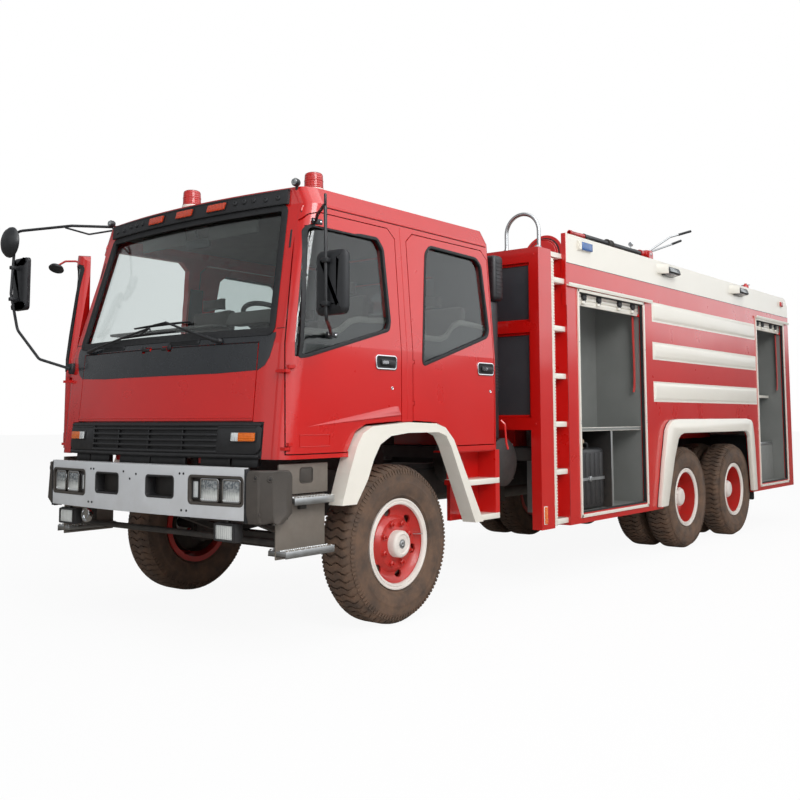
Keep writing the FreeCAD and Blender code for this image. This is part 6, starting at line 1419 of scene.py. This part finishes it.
# ---- lamps on the body
glow = Piece("body_lamps", "chassis", "lamp_lens")
glow.take(slab((1.2495, 2.326, 2.800), (1.2600, 2.557, 2.882), 0.003), creamEnamel, both=True)
glow.take(slab((1.2560, 2.366, 2.806), (1.2835, 2.553, 2.877), 0.008, 3), blueLens, both=True)
glow.take(slab((1.2560, 2.328, 2.804), (1.2800, 2.363, 2.878), 0.006, 3), creamEnamel, both=True)
for y in (4.040, 6.050):
    y0, y1 = y + 0.030, y + 0.300
    glow.take(board([(1.2490, 2.780), (1.3360, 2.802), (1.3440, 2.812), (1.3270, 2.862), (1.3160, 2.868),
                     (1.2490, 2.884)], y0, y1, "y", 0.006), blackPlastic, both=True)
    face = slab((-0.034, y0 + 0.020, -0.003), (0.034, y1 - 0.020, 0.003), 0.002)
    glow.take(moved(turned(face, -14.0, (0, 1, 0), (0, 0, 0)), (1.2960, 0, 2.7905)), headLens, both=True)
    lip = slab((-0.022, y0 + 0.020, -0.003), (0.022, y1 - 0.020, 0.003), 0.002)
    glow.take(moved(turned(lip, 73.0, (0, 1, 0), (0, 0, 0)), (1.3350, 0, 2.8350)), headLens, both=True)
    glow.take(board([(1.249, y - 0.090), (1.332, y + 0.026), (1.249, y + 0.026)], 2.792, 2.886, "z", 0.003),
              creamEnamel, both=True)
glow.take(slab((1.2495, 7.738, 2.788), (1.2580, 7.842, 2.862), 0.002), creamEnamel, both=True)
glow.take(slab((1.2540, 7.746, 2.794), (1.2755, 7.834, 2.856), 0.007, 3), redLens, both=True)
glow.take(slab((1.2495, 1.698, 0.498), (1.2550, 1.747, 0.642), 0.002), creamEnamel, both=True)
glow.take(slab((1.2530, 1.703, 0.503), (1.2640, 1.742, 0.637), 0.005, 3), amberLens, both=True)
glow.take(slab((1.000, 8.0795, 0.620), (1.190, 8.098, 0.760), 0.006), blackPlastic, both=True)
for u0, u1, lens in ((1.008, 1.062, clearTurn), (1.064, 1.120, redLens), (1.122, 1.182, amberLens)):
    glow.take(slab((u0, 8.094, 0.630), (u1, 8.118, 0.750), 0.006, 3), lens, both=True)
glow.build()
print("body lamps made")


# ---- rear wall
tail = Piece("rear_trim", "chassis", "white_paint")
tail.take(hoop(box2(-0.892, 0.892, 0.728, 2.492), 0.032, 8.0792, 8.0900, "y", 0.006, 0.003), creamEnamel)
for x in (-0.93, 0.93):
    tail.take(pipe([(x, 8.080, 1.20), (x, 8.107, 1.20), (x, 8.107, 1.78), (x, 8.080, 1.78)], 0.010, 0.02),
              aluminium)
for x in (-1.10, 1.10):
    tail.take(slab((x - 0.050, 8.0795, 1.000), (x + 0.050, 8.0880, 1.050), 0.003), redLens)
    tail.take(slab((x - 0.012, 8.0795, 0.490), (x + 0.012, 8.0950, 0.600), 0.004), redEnamel)
tail.take(slab((-1.10, 8.0790, 2.560), (1.10, 8.0840, 2.600), 0.002), creamEnamel)
tail.take(slab((-0.260, 8.0790, 0.540), (0.260, 8.0850, 0.660), 0.003), creamEnamel)
for x in (-0.22, 0.22):
    tail.take(screw((x, 8.0850, 0.600), (0, 1, 0), 0.006, 0.003), chrome)
tail.build()


# ---- roof: chequered deck, manhole ring, monitor pedestal, filler post
roofSet = {"deck": 2.740, "manholeY": 3.530, "monitorY": 6.380, "post": (0.900, 7.520)}
lidSwing = {"angle": -100, "hinge": (0, 3.805, 2.807)}               # the manhole lid stands open


def chequer(x0, x1, y0, y1, z, pitch=0.095):
    # rolled plate with raised bars laid crosswise in turn
    part = slab((x0, y0, z - 0.002), (x1, y1, z + 0.002), 0)
    row = 0
    y = y0 + pitch * 0.5
    while y < y1 - 0.03:
        x = x0 + pitch * 0.5
        column = row
        while x < x1 - 0.03:
            lean = pi / 4 if column % 2 else -pi / 4
            ax, ay = cos(lean) * 0.026, sin(lean) * 0.026
            bx, by = -sin(lean) * 0.006, cos(lean) * 0.006
            low = [part.verts.new((x + i * ax + j * bx, y + i * ay + j * by, z + 0.0015))
                   for i, j in ((-1, -0.4), (-1, 0.4), (0, 1), (1, 0.4), (1, -0.4), (0, -1))]
            high = [part.verts.new((x + i * ax, y + i * ay, z + 0.0055)) for i in (-0.7, 0.7)]
            for ring in ((low[0], low[1], high[0]), (low[1], low[2], high[1], high[0]),
                         (low[2], low[3], high[1]), (low[3], low[4], high[1]),
                         (low[4], low[5], high[0], high[1]), (low[5], low[0], high[0]),
                         (low[5], low[4], low[3], low[2], low[1], low[0])):
                part.faces.new(ring)
            x += pitch
            column += 1
        y += pitch
        row += 1
    return part


deck = Piece("roof_plates", "chassis", "aluminium")
for x0, x1, y0, y1 in ((-1.205, -0.330, 2.130, 8.030), (0.330, 1.205, 2.130, 8.030),
                       (-0.326, 0.326, 2.130, 3.240), (-0.326, 0.326, 3.880, 6.200),
                       (-0.326, 0.326, 6.560, 8.030), (-1.205, 1.205, 1.735, 2.126)):
    deck.take(chequer(x0, x1, y0, y1, roofSet["deck"] + 0.0015), stepPlate, smooth=False)
deck.take(turn([(0, 0.2325), (0, 0.268), (0.010, 0.268), (0.013, 0.262), (0.013, 0.238), (0.050, 0.236),
                (0.056, 0.2325)], (0, roofSet["manholeY"], roofSet["deck"]), (0, 0, 1), 48, closed=True),
          redEnamel)
for across, along in around(12, 0.5):
    deck.take(nut((0.253 * across, roofSet["manholeY"] + 0.253 * along, 2.751), (0, 0, 1), 0.018, 0.010,
                  0.006), redEnamel)
deck.take(turn([(0, 0), (0, 0.151), (0.030, 0.151), (0.034, 0.147), (0.034, 0.084), (0.046, 0.0735),
                (0.405, 0.0735), (0.412, 0.082), (0.4355, 0.082), (0.4355, 0)],
               (0, roofSet["monitorY"], roofSet["deck"]), (0, 0, 1), 40), redEnamel)
for across, along in around(8, 0.5):
    deck.take(nut((0.122 * across, roofSet["monitorY"] + 0.122 * along, 2.772), (0, 0, 1), 0.024, 0.014,
                  0.008), aluminium)
deck.take(turn([(0, 0), (0, 0.062), (0.010, 0.062), (0.014, 0.030), (0.270, 0.030), (0.274, 0.040),
                (0.330, 0.040), (0.345, 0.034), (0.352, 0.020), (0.366, 0.016), (0.368, 0)],
               (*roofSet["post"], roofSet["deck"]), (0, 0, 1), 28), redEnamel)
deck.take(bar((0.845, 7.520, 3.085), (0.955, 7.520, 3.085), 0.007), aluminium)
deck.build()

def opened(part):
    return turned(part, lidSwing["angle"], (1, 0, 0), lidSwing["hinge"])


hatch = Piece("manhole_lid_dressed", "tank_lid", "red_paint", "manhole_lid")
plate = turn([(-0.029, 0.0), (-0.029, 0.168), (-0.026, 0.172), (-0.022, 0.172), (-0.022, 0.184),
              (-0.029, 0.188), (-0.029, 0.192), (-0.026, 0.195), (-0.013, 0.195), (-0.013, 0.240),
              (-0.010, 0.244), (-0.003, 0.244), (0.0, 0.240), (0.0, 0.150), (0.0, 0.0)], (0, 3.530, 2.812),
             (0, 0, 1), 64)
hatch.take(opened(plate), redEnamel)
ring = turn([(0, 0.196), (-0.004, 0.197), (-0.004, 0.210), (0, 0.211)], (0, 3.530, 2.799), (0, 0, 1), 64,
            closed=True)
hatch.take(opened(ring), sealRubber)
tab = slab((-0.055, 3.755, 2.799), (0.055, 3.800, 2.813), 0.003)
hatch.take(opened(tab), redEnamel)
eye = turn([(0, 0.0085), (0, 0.0145), (0.110, 0.0145), (0.110, 0.0085)], (-0.055, 3.805, 2.807), (1, 0, 0),
           24, closed=True)
hatch.take(eye, redEnamel)
for x in (-0.08, 0.08):                                      # a lifting bow on the lid's top
    hatch.take(opened(bar((x, 3.400, 2.810), (x, 3.400, 2.834), 0.006)), chrome)
hatch.take(opened(pipe([(-0.08, 3.400, 2.834), (0.08, 3.400, 2.834)], 0.006)), chrome)
hatch.build()

ty, tz = roofSet["monitorY"], 3.436                                   # the barrel's pivot
turret = Piece("monitor_turret_dressed", "turret", "red_paint", "monitor_turret")
turret.take(turn([(0, 0), (0, 0.084), (0.004, 0.086), (0.030, 0.086), (0.034, 0.078), (0.108, 0.078),
                  (0.112, 0.086), (0.146, 0.086), (0.1495, 0.082), (0.1495, 0)], (0, ty, 3.1766), (0, 0, 1),
                 40), redEnamel)
turret.take(slab((-0.099, ty - 0.058, tz - 0.169), (0.099, ty + 0.058, tz - 0.112), 0.006), redEnamel)
arm = board([(ty - 0.058, tz - 0.165), (ty + 0.058, tz - 0.165), (ty + 0.058, tz + 0.010),
             (ty + 0.030, tz + 0.048), (ty - 0.030, tz + 0.048), (ty - 0.058, tz + 0.010)], 0.071, 0.0985,
            "x", 0, 0.014)
hole = turn([(0, 0), (0, 0.0215), (0.2, 0.0215), (0.2, 0)], (-0.02, ty, tz), (1, 0, 0), 24)
turret.take(carve(arm, [hole]), redEnamel, both=True)
for across, along in around(8):
    turret.take(nut((0.0815 * across, ty + 0.0815 * along, 3.205), (0, 0, 1), 0.010, 0.006, 0.003), aluminium)
turret.take(turn([(0, 0), (0, 0.044), (0.010, 0.044), (0.014, 0.038), (0.014, 0.0)], (0, ty + 0.084, 3.250),
                 (0, 1, 0), 20), aluminium)
turret.build()

gunBlack = finish("black_monitor_enamel", {    # satin black on the monitor's long tube
    "tone": "#2A2A2C", "shade": "#1F1F21", "patchMm": 90, "rough": 0.38, "spread": 0.07,
    "grainMm": 3.0, "grain": 0.10, "shader": {"IOR": 1.5}})
gun = Piece("monitor_barrel_dressed", "barrel", "iron", "monitor_barrel")
gun.take(turn([(0.120, 0.0), (0.120, 0.0155), (0.0, 0.017), (0.0, 0.026), (0.005, 0.0295), (0.040, 0.0295),
               (0.050, 0.024), (0.200, 0.026), (0.300, 0.0295), (0.330, 0.0295), (0.330, 0)], (0, 4.430, tz),
              (0, 1, 0), 36), redEnamel)
gun.take(turn([(0.0, 0), (0.0, 0.034), (0.004, 0.0375), (0.022, 0.0375), (0.026, 0.034), (0.560, 0.0350),
               (0.564, 0.0375), (0.640, 0.0375), (0.644, 0.0350), (1.300, 0.0360), (1.304, 0.0378),
               (1.470, 0.0378), (1.470, 0)], (0, 4.760, tz), (0, 1, 0), 36), gunBlack)
gun.take(turn([(0.0, 0), (0.0, 0.052), (0.004, 0.056), (0.020, 0.056), (0.024, 0.046), (0.090, 0.046),
               (0.094, 0.056), (0.110, 0.056), (0.114, 0.040), (0.114, 0)], (0, 5.330, tz), (0, 1, 0), 36),
         castIron)
gun.take(turn([(0, 0), (0.0, 0.052), (0.006, 0.058), (0.030, 0.061), (0.100, 0.061), (0.124, 0.058),
               (0.130, 0.052), (0.130, 0)], (-0.065, ty, tz), (1, 0, 0), 36), redEnamel)
gun.take(turn([(0.0, 0), (0.0, 0.050), (0.010, 0.052), (0.090, 0.052), (0.110, 0.046), (0.110, 0)],
              (0, ty - 0.150, tz), (0, 1, 0), 36), redEnamel)
gun.take(bar((-0.100, ty, tz), (0.100, ty, tz), 0.0198, 28, 0.003), aluminium)
gun.take(bar((0, 6.000, tz + 0.030), (0, 6.000, tz + 0.062), 0.008), aluminium)
gun.take(turn([(0, 0), (0, 0.030), (0.018, 0.030), (0.022, 0.026), (0.019, 0.024), (0.019, 0)],
              (0.0, 6.010, tz + 0.086), (0, -1, 0), 28), chrome)
for x, y, z in ((0.350, 7.090, 3.816), (0.150, 7.230, 3.733)):
    line = [Vector((0, ty + 0.030, tz + 0.020)), Vector((x * 0.47, y - 0.260, z - 0.100)),
            Vector((x, y, z - 0.003))]
    away = (line[2] - line[1]).normalized()
    gun.take(pipe([line[0], line[1], line[2] - away * 0.004], 0.0115, 0.06, sides=4), aluminium)
    gun.take(bar(line[2] - away * 0.20, line[2] - away * 0.001, 0.0160, 20, 0.004), sealRubber)
gun.build()
print("roof gear made")


# ---- steel can tank, air intake, under-body parts
capTan = finish("tan_rubberised_cover", {      # dusty cover tied over the filler cap
    "tone": "#B5A592", "shade": "#97866F", "patchMm": 30, "rough": 0.78, "spread": 0.08,
    "grainMm": 4.0, "grain": 0.4, "shader": {"IOR": 1.5}})
can = Piece("fuel_tank_dressed", "chassis", "black_plastic", "fuel_tank")
# painted shade: these boards make the tank's compartment black, where the other lockers are grey
for low, high in (((0.7405, 2.333, 0.5410), (0.7440, 2.968, 1.2330)),
                  ((0.7405, 2.964, 0.5410), (1.2050, 2.968, 1.2330)),
                  ((0.7405, 2.3325, 0.5410), (1.2050, 2.3360, 1.2330)),
                  ((0.7405, 2.3325, 1.2290), (1.1950, 2.968, 1.2330))):
    can.take(slab(low, high, 0), frameEnamel)                # painted shade: black boards lining the tank's own compartment, darkening the deep recess behind the tank
can.take(slab((0.772, 2.362, 0.541), (1.152, 2.940, 1.078), 0.040, 4), blackPlastic)
for index in range(6):
    y = 2.400 + index * 0.088
    can.take(slab((1.140, y, 0.585), (1.1600, y + 0.046, 1.036), 0.009, 3), blackPlastic)
can.take(hoop(box2(0.768, 1.166, 2.358, 2.944), 0.005, 0.796, 0.822, "z", 0.040, 0), aluminium)
can.take(slab((1.158, 2.610, 0.786), (1.178, 2.650, 0.832), 0.004), aluminium)
can.take(turn([(0, 0), (0, 0.066), (0.008, 0.062), (0.046, 0.060), (0.048, 0.072), (0.056, 0.074),
               (0.076, 0.072), (0.085, 0.062), (0.085, 0)], (1.070, 2.560, 1.076), (0, 0, 1), 36), capTan)
can.take(pipe([(0.95, 2.70, 1.070), (0.95, 2.70, 1.120), (1.04, 2.82, 1.120), (1.04, 2.82, 1.070)], 0.010,
              0.03), blackPlastic)
can.build()

breath = Piece("air_intake_dressed", "chassis", "frame_black", "air_intake")
breath.take(slab((0.907, 1.267, 2.272), (1.093, 1.403, 2.638), 0.034, 4), blackPlastic)
for index in range(9):
    z = 2.330 + index * 0.030
    breath.take(slab((1.086, 1.292, z), (1.0945, 1.378, z + 0.012), 0.002), blackPlastic)
    breath.take(slab((0.932, 1.2655, z), (1.068, 1.2700, z + 0.012), 0.001, 1), blackPlastic)
breath.take(slab((0.952, 1.287, 1.182), (1.048, 1.383, 2.280), 0.020, 3), blackPlastic)
for index in range(9):
    z = 1.560 + index * 0.024
    breath.take(slab((0.950, 1.285, z), (1.050, 1.385, z + 0.012), 0.005), sealRubber)
breath.take(turn([(0, 0), (0, 0.150), (0.012, 0.166), (0.020, 0.180), (0.100, 0.180), (0.104, 0.189),
                  (0.126, 0.189), (0.130, 0.180), (0.560, 0.180), (0.564, 0.189), (0.586, 0.189),
                  (0.600, 0.170), (0.612, 0.120), (0.614, 0.0)], (0.466, 1.425, 1.000), (1, 0, 0), 48),
            frameEnamel)
for along, up in around(4, 0.5):
    y, z = 1.425 + 0.184 * along, 1.0 + 0.184 * up
    breath.take(slab((1.010, y - 0.012, z - 0.012), (1.052, y + 0.012, z + 0.012), 0.003), aluminium)
breath.take(slab((0.436, 1.337, 0.882), (0.480, 1.513, 0.958), 0.004), frameEnamel)
breath.build()

under = Piece("underbody_parts", "chassis", "frame_black")
under.take(board(box2(0.720, 1.236, 0.360, 1.180), 6.586, 6.596, "y", 0.003, 0.02), sealRubber, both=True)
under.take(slab((0.720, 6.580, 1.130), (1.236, 6.588, 1.175), 0.003), aluminium, both=True)
for y in (2.36, 2.92):
    tankBody = [(0, 0), (0.006, 0.050), (0.022, 0.086), (0.045, 0.102), (0.455, 0.102), (0.478, 0.086),
                (0.494, 0.050), (0.500, 0)]
    under.take(turn(tankBody, (-0.612, y, 0.680), (0, 1, 0), 36), frameEnamel)
    for shift in (0.10, 0.40):
        under.take(turn([(0, 0.1025), (0, 0.106), (0.024, 0.106), (0.024, 0.1025)],
                        (-0.612, y + shift, 0.680), (0, 1, 0), 36, closed=True), aluminium)
for z, start, end in ((0.930, 0.70, 7.70), (0.950, 0.70, 6.20)):
    under.take(pipe([(0.4335, start, z), (0.4335, end, z)], 0.0045), blackPlastic, both=True)
under.build()

backing = Piece("cab_backing", "cab", "black_plastic")
backing.take(onFront(board(box2(-0.98, 0.98, 1.110, 1.330), 0.0185, 0.0245, "y", 0)), blackPlastic)
backing.take(onFront(board(box2(0.50, 0.96, 1.070, 1.120), 0.060, 0.066, "y", 0)), blackPlastic, both=True)
backing.build()
print("chassis parts made")


# ---- finishes of the CAD nodes that stay in view
slotLook = {"red_paint": redEnamel, "white_paint": creamEnamel, "bumper_grey": bumperEnamel,
            "rim_red": wheelRed, "dark_plastic": capPlastic, "black_plastic": blackPlastic,
            "tyre": tyreRubber, "glass": windowGlass, "frame_black": frameEnamel, "iron": castIron,
            "locker_grey": lockerPaint, "aluminium": aluminium, "seat_fabric": seatCloth,
            "lamp_lens": headLens, "mirror_black": blackPlastic}
nodeLook = {"roof_deck": creamEnamel, "monitor_turret": redEnamel, "air_intake": blackPlastic}
for name, thing in nodes.items():
    for slot in thing.material_slots:
        slot.material = nodeLook.get(name, slotLook[slot.material.name.split(".")[0]])
print("finishes set")
